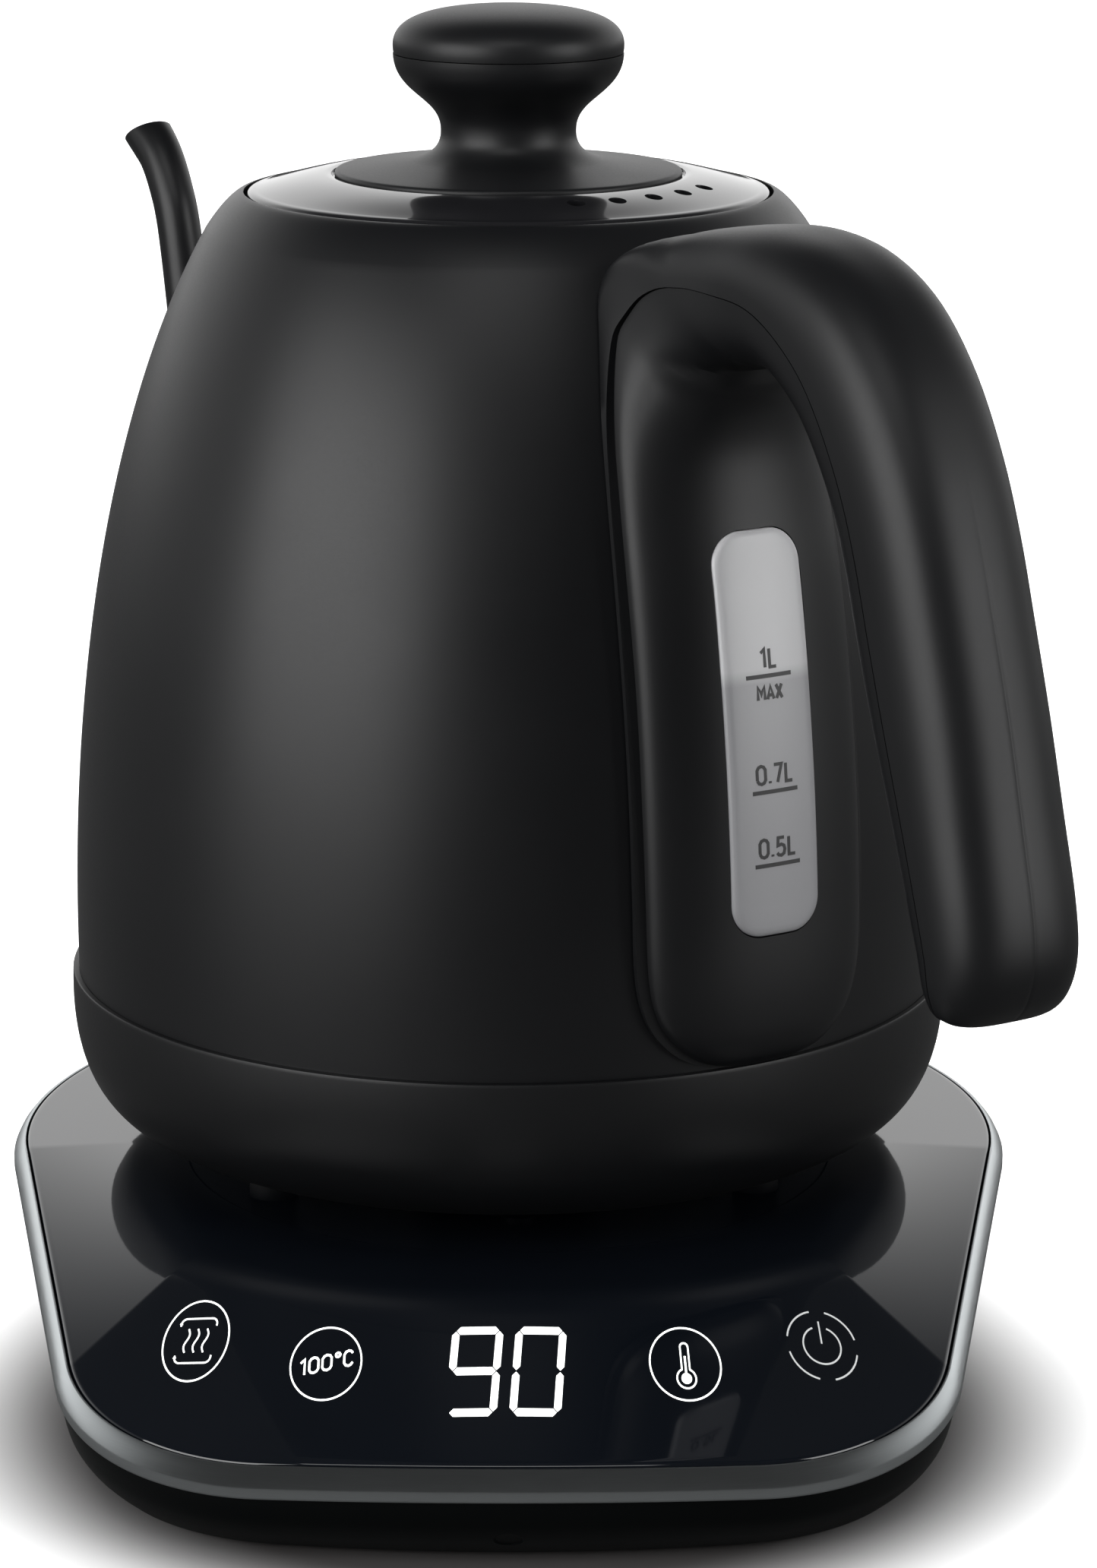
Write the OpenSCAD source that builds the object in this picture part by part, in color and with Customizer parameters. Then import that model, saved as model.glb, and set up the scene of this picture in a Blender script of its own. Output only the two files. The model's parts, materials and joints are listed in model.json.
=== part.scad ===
// Gooseneck kettle on a powered base with touch controls.
// Frame: +Z up, the table is z = 0, the kettle's vertical axis is x = y = 0, the controls face -Y.

/* [Kettle] */
// Height of the seam between the body and its lower casing, above the table
seam_z = 62; // [58:1:66]
// Turn of the handle from the front, towards +X
kettle_yaw = 32.5; // [0:0.5:90]
// Wall of the steel body
body_wall = 1.0; // [0.8:0.1:1.2]
// Height of the vessel floor above the seam
floor_rise = 7; // [6:0.5:9]
// Radius of the mouth in the body's shoulder
mouth_r = 44.7; // [44.5:0.1:45]

/* [Handle] */
// Gap between the two handle mouldings
handle_seam = 0.2; // [0.1:0.05:0.3]
// Half width of the level window
window_half_w = 8.4; // [7:0.1:9]
// Bottom of the level window above the seam
window_bottom = 23; // [22:0.5:26]
// Top of the level window above the seam
window_top = 88; // [84:0.5:90]

/* [Spout] */
// Outer radius of the spout's neck
neck_r = 4.05; // [4:0.05:4.5]
// Wall of the spout tube
spout_wall = 0.8; // [0.6:0.1:0.9]

/* [Lid] */
// Height of the lid ring's top above the seam
lid_top = 134.6; // [134.2:0.1:135]
// Radius of the knob's cap
knob_r = 19.6; // [18.5:0.1:20]

/* [Base] */
// Height of the glass top's flat area above the table
glass_z = 30.8; // [30:0.1:31.2]
// Height of the glass at its front edge
glass_front_z = 17; // [16:0.5:19]
// Radius of the flat area of the glass, beyond which it slopes down
flat_r = 84; // [82:0.5:86]
// Radius of the base round the kettle
base_r = 87; // [86:0.5:90]
// Distance from the kettle's axis to the front edge
base_front = 131; // [128:0.5:134]
// Half width of the base at its front corners
base_half_w = 73; // [71:0.5:76]
// Radius of the front corners in plan
corner_r = 42; // [38:0.5:44]
// Bow radius of the front edge in plan
bow_r = 220; // [200:5:260]
// Thickness of the glass top
glass_t = 3; // [2.5:0.1:3.2]

/* [Hidden] */
$fn = 96;
eps = 0.01;
// Clearance between pieces that lift or turn past each other
clear = 0.3;
black = [0.045, 0.045, 0.05];
gloss_black = [0.02, 0.02, 0.024];
steel = [0.72, 0.73, 0.74];
dark_rubber = [0.10, 0.10, 0.10];
brass_colour = [0.80, 0.62, 0.30];
glow = [0.95, 0.95, 0.90];

// ---------- curves ----------

// Point at t on the cubic curve with the four control points p
function bez(p, t) =
    pow(1 - t, 3) * p[0] + 3 * pow(1 - t, 2) * t * p[1] + 3 * (1 - t) * t * t * p[2] + t * t * t * p[3];
function bez_points(p, n, first = 0) = [for (i = [first:n]) bez(p, i / n)];
function arc(c, r, a0, a1, n) = [for (i = [0:n]) let (a = a0 + (a1 - a0) * i / n)
    [c[0] + r * cos(a), c[1] + r * sin(a)]];
function reverse(v) = [for (i = [len(v) - 1:-1:0]) v[i]];
// Smooth curve through the rows of a table, at row number u
function row_at(rows, u) =
    let (
        last = len(rows) - 1,
        i = min(floor(u), last - 1),
        t = u - i,
        a = rows[max(i - 1, 0)],
        b = rows[i],
        c = rows[i + 1],
        d = rows[min(i + 2, last)]
    )
    0.5 * (2 * b + (c - a) * t + (2 * a - 5 * b + 4 * c - d) * t * t
        + (3 * b - a - 3 * c + d) * t * t * t);
function smooth_rows(rows, per) = [for (k = [0:(len(rows) - 1) * per]) row_at(rows, k / per)];

// Solid skin over rings of points that all have the same count, closed by a fan at each end
module loft(rings) {
    m = len(rings[0]);
    n = len(rings);
    middle = function(ring) [for (a = [0:2]) ([for (p = ring) 1] * [for (p = ring) p[a]]) / m];
    points = concat([for (ring = rings) each ring], [middle(rings[0]), middle(rings[n - 1])]);
    sides = [for (i = [0:n - 2]) for (j = [0:m - 1])
        let (a = i * m + j, b = i * m + (j + 1) % m)
        each [[a, b, b + m], [a, b + m, a + m]]];
    start = [for (j = [0:m - 1]) [n * m, (j + 1) % m, j]];
    finish = [for (j = [0:m - 1]) [n * m + 1, (n - 1) * m + j, (n - 1) * m + (j + 1) % m]];
    polyhedron(points = points, faces = concat(sides, start, finish));
}

// Solid skin over rings that close on themselves, so the last ring joins the first
module ring_loft(rings) {
    m = len(rings[0]);
    n = len(rings);
    polyhedron(
        points = [for (ring = rings) each ring],
        faces = [for (i = [0:n - 1]) for (j = [0:m - 1])
            let (a = i * m + j, b = i * m + (j + 1) % m, up = ((i + 1) % n - i) * m)
            each [[a, b, b + up], [a, b + up, a + up]]]
    );
}

// ---------- kettle outlines, heights above the seam ----------

body_curve = [[74.9, 0], [75.9, 45.4], [69.35, 95.5], [51.1, 128]];
shoulder_curve = [[51.1, 128], [49, 131.2], [mouth_r + 1.6, 134.2], [mouth_r, 134.2]];
casing_curve = [[75.96, 0], [76.6, -15.5], [72.3, -27.15], [56.6, -27.05]];
body_outline = concat(bez_points(body_curve, 24), bez_points(shoulder_curve, 6, 1));
body_lookup = [for (p = body_outline) [p[1], p[0]]];
function body_r(z) = lookup(z, body_lookup);
ledge_z = 130.6;
ledge_r = 41;
cover_z = -27.05;

// Everything that stands on the base turns with the kettle
module kettle_frame() {
    translate([0, 0, seam_z]) rotate(kettle_yaw) children();
}

// The same frame with its +X axis along the handle
module handle_frame() {
    kettle_frame() rotate(-90) children();
}

// ---------- handle ----------

// Each row is one cross-section: outer point (radius, height), inner point (radius, height),
// half width of the shell, half width of the liner, and where the seam lies from outer to inner
handle_rows = [
    [75.2, 0.5, 76.9, 0.5, 8.0, 6.5, 0.4],
    [75.3, 2.2, 78.6, 2.2, 13.5, 11.8, 0.3],
    [75.3, 5.5, 79.9, 5.5, 17.8, 16.0, 0.26],
    [75.3, 10, 80.5, 10, 20.6, 18.9, 0.24],
    [75.3, 17, 80.8, 17, 22.1, 20.4, 0.24],
    [75.0, 30, 80.5, 30, 22.4, 20.7, 0.24],
    [73.7, 46, 79.2, 46, 22.3, 20.7, 0.24],
    [71.5, 63, 77.1, 63, 22.1, 20.5, 0.24],
    [68.5, 80, 74.5, 80, 21.8, 20.3, 0.24],
    [65.2, 93, 71.6, 92, 21.1, 19.7, 0.24],
    [61.4, 105, 70.4, 100.5, 20.1, 18.7, 0.24],
    [57.1, 116.5, 71.6, 107, 18.1, 17, 0.28],
    [53.3, 125.3, 74.8, 111.5, 16.3, 15.5, 0.38],
    [55, 130.8, 79, 114.4, 14.9, 14.4, 0.37],
    [62, 134.5, 82.5, 115.5, 14, 13.7, 0.37],
    [74, 136.8, 86, 115.8, 13.1, 13, 0.45],
    [86, 137.6, 90, 115, 12.9, 12.9, 0.5],
    [98, 135.8, 94.5, 112.3, 12.8, 12.8, 0.57],
    [109, 130.5, 99.3, 108.3, 12.8, 12.8, 0.62],
    [118.5, 121, 104, 102.5, 12.8, 12.8, 0.66],
    [126, 108.5, 108, 96, 12.8, 12.8, 0.68],
    [131, 96.5, 111, 88, 12.8, 12.8, 0.68],
    [135, 84, 113.8, 79, 12.8, 12.8, 0.68],
    [139.5, 69, 118, 67, 12.8, 12.8, 0.68],
    [143.2, 54, 123.3, 54, 12.8, 12.8, 0.68],
    [146.2, 41.5, 127.8, 42.5, 12.8, 12.8, 0.68],
    [146.9, 33.4, 130.8, 34.6, 12.6, 12.6, 0.68],
    [145.2, 27.6, 132.4, 28.8, 12, 12, 0.68],
    [142.3, 24.2, 134.3, 24.9, 10.2, 10.2, 0.68],
    [139.6, 23.2, 136.2, 23.4, 5.8, 5.8, 0.66]
];
// The sections up to this row lie on the body, and by the second one they stand free
hug_row = 11.5;
free_row = 14;
// The shell's sections are square up to this row, and round from free_row on
square_row = 11;
rows_per = 2;
// Exponents of the sections' outline: round ones, and what is added for square ones
round_crown = 2.9;
square_crown = 9;
// Range searched for the body's surface behind the outer point, and halvings of it
gap_range = [-1, 3.5];
gap_steps = 12;

// How far back from the outer point the body's surface lies, s millimetres to the side
function back_gap(o, d, s, low, high, steps) =
    let (mid = (low + high) / 2, p = o - d * mid, out = norm([p[0], s]) - body_r(p[1]) - clear)
    steps == 0 ? mid : out > 0 ? back_gap(o, d, s, mid, high, steps - 1)
        : back_gap(o, d, s, low, mid, steps - 1);
function hug_at(u) = u <= hug_row ? 1 : u >= free_row ? 0 : (free_row - u) / (free_row - hug_row);
function crown_at(u) =
    round_crown + square_crown * max(0, min(1, (free_row - u) / (free_row - square_row)));

// A point of section u: a runs from outer (0) to inner (1), s is the sideways place
function section_point(row, u, a, s) =
    let (
        o = [row[0], row[1]],
        d = [row[2] - row[0], row[3] - row[1]],
        way = d / norm(d),
        hug = hug_at(u),
        gap = hug > 0 ? hug * back_gap(o, way, s, gap_range[0], gap_range[1], gap_steps) : 0,
        p = o + d * a - way * gap
    )
    [p[0], s, p[1]];

module handle_half(shell) {
    count = (len(handle_rows) - 1) * rows_per;
    across = 12;
    seam_steps = 8;
    rings = [for (k = [0:count])
        let (
            u = k / rows_per,
            row = row_at(handle_rows, u),
            t = norm([row[2] - row[0], row[3] - row[1]]),
            w = shell ? row[4] : row[5],
            seam_a = row[6] + (shell ? -1 : 1) * handle_seam / 2 / t,
            far_a = shell ? 0 : 1,
            n = shell ? crown_at(u) : round_crown,
            crown = [for (j = [0:across]) let (s = cos(180 * j / across))
                section_point(row, u, seam_a + (far_a - seam_a) * pow(1 - pow(abs(s), n), 1 / n), w * s)],
            seam = [for (j = [1:seam_steps - 1])
                section_point(row, u, seam_a, w * (2 * j / seam_steps - 1))]
        )
        shell ? reverse(concat(crown, seam)) : concat(crown, seam)];
    loft(rings);
}

// Rounded slot outline, x across and y up
module window_outline(grow = 0) {
    r = 5.5 + grow;
    x = window_half_w + grow - r;
    low = window_bottom - grow + r;
    high = window_top + grow - r;
    polygon(concat(
        arc([x, high], r, 0, 90, 8), arc([-x, high], r, 90, 180, 8),
        arc([-x, low], r, 180, 270, 8), arc([x, low], r, 270, 360, 8)));
}

// The slot outline pushed outwards along the handle's direction
module window_prism(grow, from_r, to_r) {
    translate([from_r, 0, 0]) rotate([90, 0, 90]) linear_extrude(to_r - from_r) window_outline(grow);
}

module handle_shell() {
    color(black) handle_frame() difference() {
        handle_half(true);
        window_prism(0.2, 60, 90);
    }
}

module handle_liner() {
    color(black) handle_frame() difference() {
        handle_half(false);
        window_prism(0.2, 60, 90);
    }
}

// The body's shape grown by g, cut off above the window
module body_envelope(g) {
    rotate_extrude() polygon(concat([[0, 0]], [for (p = bez_points(body_curve, 24)) p + [g, 0]],
        [[0, 128]]));
}

// How far the body's slot is inside the window's outline
window_lip = 2.2;
// Height of the window's face above the body
window_rise = 6.5;

module level_window() {
    color([0.62, 0.62, 0.63]) handle_frame() difference() {
        intersection() {
            window_prism(0, 60, 90);
            body_envelope(window_rise);
        }
        intersection() {
            window_prism(-1.6, 59, 90);
            body_envelope(window_rise - 1.6);
        }
        body_envelope(clear);
    }
}

module window_seal() {
    color(dark_rubber) handle_frame() difference() {
        intersection() {
            window_prism(-window_lip - 0.15, 60, 90);
            body_envelope(clear - 0.1);
        }
        body_envelope(-body_wall - 1);
        window_prism(-window_lip - 1.2, 59, 91);
    }
}

// Level lines at 1, 0.7 and 0.5 litres
mark_heights = [65.1, 46.6, 34.7];

module level_marks() {
    color(black) handle_frame() intersection() {
        for (h = mark_heights) {
            translate([70, -4.3, h - 0.35]) cube([12, 8.6, 0.7]);
        }
        difference() {
            body_envelope(window_rise + 0.15);
            body_envelope(window_rise + eps);
        }
    }
}

// Heights of the two bands that back the handle inside the body
bracket_heights = [14, 98];

module handle_bracket() {
    color(steel) handle_frame() intersection() {
        difference() {
            body_envelope(-body_wall - 0.1);
            body_envelope(-body_wall - 1.6);
        }
        for (z = bracket_heights) {
            translate([50, -14, z - 4]) cube([30, 28, 8]);
        }
    }
}

module handle_screws() {
    color(steel) handle_frame() for (s = [-8, 8]) {
        translate([70.4, s, bracket_heights[0]]) rotate([0, 90, 0]) cylinder(h = 1.1, r = 1.5, $fn = 32);
    }
}

// ---------- body ----------

module body_shell() {
    inner = [for (p = bez_points(body_curve, 24)) p - [body_wall, 0]];
    color(black) kettle_frame() difference() {
        rotate_extrude() polygon(concat(
            body_outline,
            [[mouth_r, ledge_z], [ledge_r, ledge_z], [ledge_r, ledge_z - 5], [ledge_r + 0.9, ledge_z - 5],
             [ledge_r + 0.9, ledge_z - 1.5], [mouth_r + 0.2, ledge_z - 1.5]],
            reverse(inner)));
        rotate(-90) window_prism(-window_lip, 55, 90);
        spout_hole();
    }
}

module spout_hole() {
    rotate(90) translate([60, 0, spout_root_z]) rotate([0, 90, 0])
        cylinder(h = 30, r = spout_root_r + 0.1);
}

module casing() {
    wall = 2.2;
    outline = bez_points(casing_curve, 16);
    color(black) kettle_frame() rotate_extrude() polygon(concat(
        outline,
        [[56.6, cover_z + wall]],
        reverse([for (i = [1:14]) let (p = bez(casing_curve, i / 16)) p + [-wall, wall * i / 16]]),
        [[74.0, -0.1], [75.0, -0.1], [75.0, 0.0]]));
}

plate_t = 1.2;
spreader_t = 2.5;
// Height of the heat spreader's underside above the seam
spreader_z = floor_rise - plate_t - spreader_t - 0.1;
probe_x = 22;

module heater_plate() {
    r = body_r(floor_rise) - body_wall - 0.2;
    color(steel) kettle_frame() difference() {
        union() {
            translate([0, 0, floor_rise - plate_t]) cylinder(h = plate_t, r = r);
            difference() {
                translate([0, 0, floor_rise - 6]) cylinder(h = 6, r = r);
                translate([0, 0, floor_rise - 7]) cylinder(h = 8, r = r - 1.2);
            }
        }
        translate([probe_x, 0, floor_rise - 8]) cylinder(h = 12, r = 4.2);
    }
}

module floor_seal() {
    r = body_r(floor_rise) - body_wall - 1.5;
    color(dark_rubber) kettle_frame() translate([0, 0, floor_rise + 0.9]) rotate_extrude()
        translate([r, 0]) circle(r = 0.85, $fn = 24);
}

module heat_spreader() {
    color([0.78, 0.78, 0.80]) kettle_frame() translate([0, 0, spreader_z]) difference() {
        cylinder(h = spreader_t, r = 56);
        translate([probe_x, 0, -1]) cylinder(h = 5, r = 7);
    }
}

module heating_element() {
    color([0.35, 0.35, 0.36]) kettle_frame() translate([0, 0, spreader_z - 3.5]) rotate(20)
        rotate_extrude(angle = 320) translate([44, 0]) circle(r = 3.3, $fn = 32);
}

module thermal_cutouts() {
    color([0.75, 0.72, 0.62]) kettle_frame() for (a = [120, 240]) {
        rotate(a) translate([24, 0, spreader_z - 6.1]) union() {
            cylinder(h = 6, r = 7);
            translate([-4, -1, -4]) cube([8, 2, 4 + eps]);
        }
    }
}

module temperature_probe() {
    color(steel) kettle_frame() translate([probe_x, 0, floor_rise - 9]) union() {
        cylinder(h = 15, r = 2.2);
        translate([0, 0, 15]) sphere(r = 2.2);
        translate([0, 0, -3]) cylinder(h = 3 + eps, r = 3.2);
    }
}

module probe_grommet() {
    color([0.75, 0.20, 0.15]) kettle_frame() translate([probe_x, 0, floor_rise - 4.4]) difference() {
        union() {
            cylinder(h = 6.6, r = 4.1);
            translate([0, 0, 4.5]) cylinder(h = 2.1, r = 6);
        }
        translate([0, 0, -1]) cylinder(h = 9, r = 2.25);
    }
}

// ---------- connector between kettle and base ----------

socket_r = 21;
boss_r = 15;
// Height of the cover's underside above the table
cover_table_z = seam_z + cover_z;

module bottom_cover() {
    color(black) kettle_frame() translate([0, 0, cover_z]) difference() {
        union() {
            cylinder(h = 2.2, r = 56.3);
            cylinder(h = 6, r = socket_r + 3);
        }
        translate([0, 0, -1]) cylinder(h = 9, r = socket_r + clear);
        for (a = [0:120:240]) {
            rotate(a) translate([40, 0, -1]) cylinder(h = 5, r = 1.7, $fn = 32);
        }
    }
}

module kettle_feet() {
    color(dark_rubber) kettle_frame() for (a = [60:120:300]) {
        rotate(a) translate([48, 0, glass_z + clear - seam_z])
            cylinder(h = cover_table_z - glass_z - clear, r = 4, $fn = 48);
    }
}

module cover_screws() {
    color(steel) kettle_frame() for (a = [0:120:240]) {
        rotate(a) translate([40, 0, cover_z]) union() {
            translate([0, 0, -1.4]) cylinder(h = 1.4, r = 3, $fn = 32);
            cylinder(h = 9, r = 1.5, $fn = 32);
        }
    }
}

module connector_socket() {
    color(black) translate([0, 0, cover_table_z]) difference() {
        union() {
            cylinder(h = 19, r = socket_r);
            translate([0, 0, 6.3]) cylinder(h = 2, r = socket_r + 4);
        }
        translate([0, 0, -1]) cylinder(h = 16, r = boss_r + 0.4);
        translate([0, 0, 14]) cylinder(h = 3, r = 11.4);
    }
}

module socket_contacts() {
    color(brass_colour) translate([0, 0, cover_table_z + 15.1]) for (r = [4, 7.5, 11]) {
        difference() {
            cylinder(h = 1.6, r = r);
            translate([0, 0, -1]) cylinder(h = 4, r = r - 1.2);
        }
    }
}

module connector_boss() {
    color(black) difference() {
        union() {
            translate([0, 0, 4]) cylinder(h = glass_z - glass_t - 4 - clear, r = boss_r + 5);
            translate([0, 0, 4]) cylinder(h = cover_table_z + 13 - 4, r = boss_r);
        }
        for (r = [2.8, 6.3, 9.8]) {
            translate([r + 0.6, 0, 20]) cylinder(h = 40, r = 0.7, $fn = 32);
        }
        translate([0, 0, 3]) cylinder(h = 18, r = 12);
    }
}

module boss_contacts() {
    color(brass_colour) for (r = [2.8, 6.3, 9.8]) {
        translate([r + 0.6, 0, 22]) cylinder(h = cover_table_z + 14.6 - 22, r = 0.6, $fn = 32);
    }
}

// ---------- spout ----------

spout_root_r = 8.2;
spout_root_z = 24;
// Each row: distance from the kettle's axis, height above the seam, outer radius
spout_rows = [
    [74.4, 24, spout_root_r],
    [80, 24.6, 8.1],
    [87, 28, 7.8],
    [93.5, 34.5, 7.2],
    [98.5, 44, 6.4],
    [102.5, 57, 5.6],
    [106, 72, 4.9],
    [109.5, 88, 4.4],
    [112.6, 102, 4.1],
    [115.6, 115, neck_r],
    [118.3, 121.5, neck_r],
    [122, 127, 4.15],
    [127, 131, 4.5]
];

spout_sides = 20;
// Direction of the cut across the spout's tip
tip_dir = [0.55, 0.83];

module spout_skin(inset, extra) {
    rows = smooth_rows(spout_rows, 3);
    last = len(rows) - 1;
    rings = [for (k = [0:last])
        let (
            here = [rows[k][0], rows[k][1]],
            before = rows[max(k - 1, 0)],
            after = rows[min(k + 1, last)],
            along = [after[0] - before[0], after[1] - before[1]],
            bent = k == last ? tip_dir : along / norm(along),
            stretch = k == 0 ? -extra : k == last ? extra : 0,
            c = here + bent * stretch,
            r = rows[k][2] - inset
        )
        [for (j = [0:spout_sides - 1]) let (q = -360 * j / spout_sides)
            [c[0] + r * cos(q) * bent[1], r * sin(q), c[1] - r * cos(q) * bent[0]]]];
    loft(rings);
}

module spout_tube() {
    color(black) kettle_frame() rotate(90) difference() {
        spout_skin(0, 0);
        spout_skin(spout_wall, 1);
    }
}

module spout_flange() {
    color(black) kettle_frame() rotate(90) difference() {
        translate([70, 0, spout_root_z]) rotate([0, 90, 0]) cylinder(h = 7, r = 11.2);
        body_envelope(0.02);
        translate([60, 0, spout_root_z]) rotate([0, 90, 0]) cylinder(h = 30, r = spout_root_r + 0.35);
    }
}

module spout_strainer() {
    color(steel) kettle_frame() rotate(90) difference() {
        intersection() {
            difference() {
                body_envelope(-body_wall - 0.05);
                body_envelope(-body_wall - 0.75);
            }
            translate([50, 0, spout_root_z]) rotate([0, 90, 0]) cylinder(h = 40, r = 12);
        }
        for (y = [-6:3:6]) {
            for (z = [-6:3:6]) {
                if (norm([y, z]) < 8) {
                    translate([50, y, spout_root_z + z]) rotate([0, 90, 0])
                        cylinder(h = 40, r = 0.9, $fn = 16);
                }
            }
        }
    }
}

// ---------- lid ----------

disc_r = 29.3;
disc_z = 137.8;
knob_seam_z = 157.2;
vent_count = 5;
// Direction of the row of steam holes in the kettle's frame, and the angle between two holes
vent_dir = -80.5;
vent_step = 12;

module lid_ring() {
    outer = mouth_r - 0.5;
    edge = [[outer, lid_top - 1.2], [outer, lid_top - 0.2],
        [outer - 0.8, lid_top], [outer - 1.6, lid_top + 0.1]];
    dome = [[outer - 1.6, lid_top + 0.1], [40, lid_top + 0.7], [35, lid_top + 2.3], [30.6, lid_top + 2.6]];
    color(gloss_black) kettle_frame() difference() {
        rotate_extrude() polygon(concat(
            [[26, lid_top - 3], [outer, lid_top - 3]],
            bez_points(edge, 5),
            bez_points(dome, 6, 1),
            [[29.9, lid_top + 2.5], [29.8, lid_top + 2], [26, lid_top + 2]]));
        for (i = [0:vent_count - 1]) {
            rotate(vent_dir + (i - (vent_count - 1) / 2) * vent_step) translate([35.5, 0, lid_top - 5])
                cylinder(h = 10, r = 1.5, $fn = 32);
        }
    }
}

module lid_disc() {
    stem = concat(
        bez_points([[16.5, 139.3], [12.5, 140.2], [11.3, 142], [11.4, 144.5]], 8),
        bez_points([[11.4, 144.5], [11.5, 150], [19.2, 150.5], [19.4, knob_seam_z]], 10, 1));
    color(black) kettle_frame() difference() {
        rotate_extrude() polygon(concat(
            [[0, lid_top - 3], [25.6, lid_top - 3], [25.6, lid_top + 2.2], [disc_r, lid_top + 2.2]],
            [[disc_r, disc_z - 0.5], [disc_r - 0.6, disc_z]],
            stem,
            [[0, knob_seam_z]]));
        translate([0, 0, 120]) cylinder(h = 31, r = 2.1);
        translate([0, 0, knob_seam_z - 4]) cylinder(h = 5, r = 7);
    }
}

module knob_cap() {
    z = knob_seam_z + 0.15;
    color(black) kettle_frame() rotate_extrude() polygon(concat(
        [[0, z - 3.6], [6.8, z - 3.6], [6.8, z]],
        bez_points([[knob_r - 0.3, z], [knob_r + 0.6, z + 4.6], [knob_r - 3, z + 7.8], [0, z + 7.8]],
            16)));
}

module knob_screw() {
    color(steel) kettle_frame() translate([0, 0, 126.6]) union() {
        cylinder(h = 24, r = 2, $fn = 32);
        cylinder(h = 2.4, r = 4, $fn = 32);
    }
}

module lid_skirt() {
    color(steel) kettle_frame() difference() {
        rotate_extrude() polygon([[0, 129], [38.4, 129], [38.4, 122.4], [39.2, 122.4], [39.2, 130.9],
            [42.5, 130.95], [42.5, 131.5], [38.6, 131.5], [38.6, 129.8], [0, 129.8]]);
        translate([0, 0, 120]) cylinder(h = 20, r = 2.1);
    }
}

module lid_gasket() {
    color([0.25, 0.25, 0.26]) kettle_frame() rotate_extrude() difference() {
        translate([39.25, 124]) square([1.4, 4.4]);
        translate([40.65, 126.2]) circle(r = 0.6, $fn = 24);
    }
}

// ---------- base ----------

// Plan of the base, grown by g: round the kettle at the back, two corner arcs and a bowed front
corner_x = base_half_w - corner_r;
bow_c = [0, bow_r - base_front];
corner_c = [corner_x, bow_c[1] - sqrt(pow(bow_r - corner_r, 2) - corner_x * corner_x)];
corner_dir = atan2(corner_c[1], corner_c[0]);
side_a = corner_dir + acos((base_r - corner_r) / norm(corner_c));
bow_a = atan2(corner_c[1] - bow_c[1], corner_c[0] - bow_c[0]);
back_steps = 44;
corner_steps = 14;
bow_steps = 12;
left_c = [-corner_c[0], corner_c[1]];

function base_plan(g) = concat(
    arc([0, 0], base_r + g, side_a, 180 - side_a, back_steps),
    arc(left_c, corner_r + g, 180 - side_a, 180 - bow_a, corner_steps),
    arc(bow_c, bow_r + g, 180 - bow_a, 360 + bow_a, bow_steps),
    arc(corner_c, corner_r + g, 360 + bow_a, 360 + side_a, corner_steps));

// Height of the glass surface at radius r: flat round the kettle, a soft fold, then a cone
fold_soft = 10;
function slope_at(run) = run <= 0 ? 0 : run < fold_soft ? run * run / (2 * fold_soft) : run - fold_soft / 2;
slope_full = slope_at(base_front - flat_r);
function top_at(r) = glass_z - (glass_z - glass_front_z) * slope_at(r - flat_r) / slope_full;

// Band of the given depth below the glass surface
module under_glass(depth) {
    rs = concat([0], [for (i = [0:6]) flat_r + i * fold_soft / 6], [base_front + 10]);
    rotate_extrude($fn = 180) polygon(concat(
        [for (r = rs) [r, top_at(r) - depth]],
        reverse([for (r = rs) [r, top_at(r)]])));
}

module base_glass() {
    color(gloss_black) difference() {
        intersection() {
            translate([0, 0, -5]) linear_extrude(60) polygon(base_plan(-2.4));
            under_glass(glass_t);
        }
        translate([0, 0, 10]) cylinder(h = 40, r = boss_r + 1);
    }
}

// A closed band made from plan rings; each pair is a plan offset and a drop below the glass surface
module plan_band(pairs) {
    ring_loft([for (q = pairs) [for (p = base_plan(q[0])) [p[0], p[1], top_at(norm(p)) - q[1]]]]);
}

module base_rim() {
    color([0.66, 0.68, 0.69]) plan_band([[-2.1, 0.2], [-2.1, 4.6], [-0.6, 4.6], [0, 4.1], [0, 2.6],
        [-0.7, 1.2], [-1.7, 0.1]]);
}

// Cord's way out at the back: height above the table, radius of its gland and of the hole in it
gland_z = 10;
gland_r = 6;
cord_hole_r = 3.6;
// Shallow round dimple low in the middle of the housing's front: its place and size
dimple_at = [0, -126.8, 4.6];
dimple_tilt = 135;
dimple_r = 2.4;
dimple_depth = 0.6;

// Housing rings from the rim down to the table: plan offset and share of the way down
module base_housing() {
    skirt = [[-0.9, 0], [-1.2, 0.2], [-2.2, 0.45], [-4.2, 0.68], [-6.6, 0.86], [-9, 1]];
    wall = 2.2;
    bottom = 1;
    top_drop = 4.75;
    outer = [for (q = skirt) [for (p = base_plan(q[0]))
        let (top = top_at(norm(p)) - top_drop) [p[0], p[1], top + (bottom - top) * q[1]]]];
    inner = [for (q = reverse(skirt)) [for (p = base_plan(q[0] - wall))
        let (top = top_at(norm(p)) - top_drop) [p[0], p[1], top + (bottom - top) * q[1]]]];
    color([0.03, 0.035, 0.035]) difference() {
        ring_loft(reverse(concat(outer, inner)));
        translate([0, 70, gland_z]) rotate([-90, 0, 0]) cylinder(h = 30, r = gland_r + 0.1, $fn = 48);
        translate(dimple_at) rotate([dimple_tilt, 0, 0]) translate([0, 0, -dimple_depth])
            cylinder(h = 4, r = dimple_r, $fn = 48);
    }
}

module base_floor() {
    color([0.06, 0.06, 0.06]) difference() {
        translate([0, 0, 1.6]) linear_extrude(2.2) polygon(base_plan(-11.6));
        for (p = screw_places) {
            translate([p[0], p[1], 0]) cylinder(h = 6, r = 1.7, $fn = 32);
        }
    }
}

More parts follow.
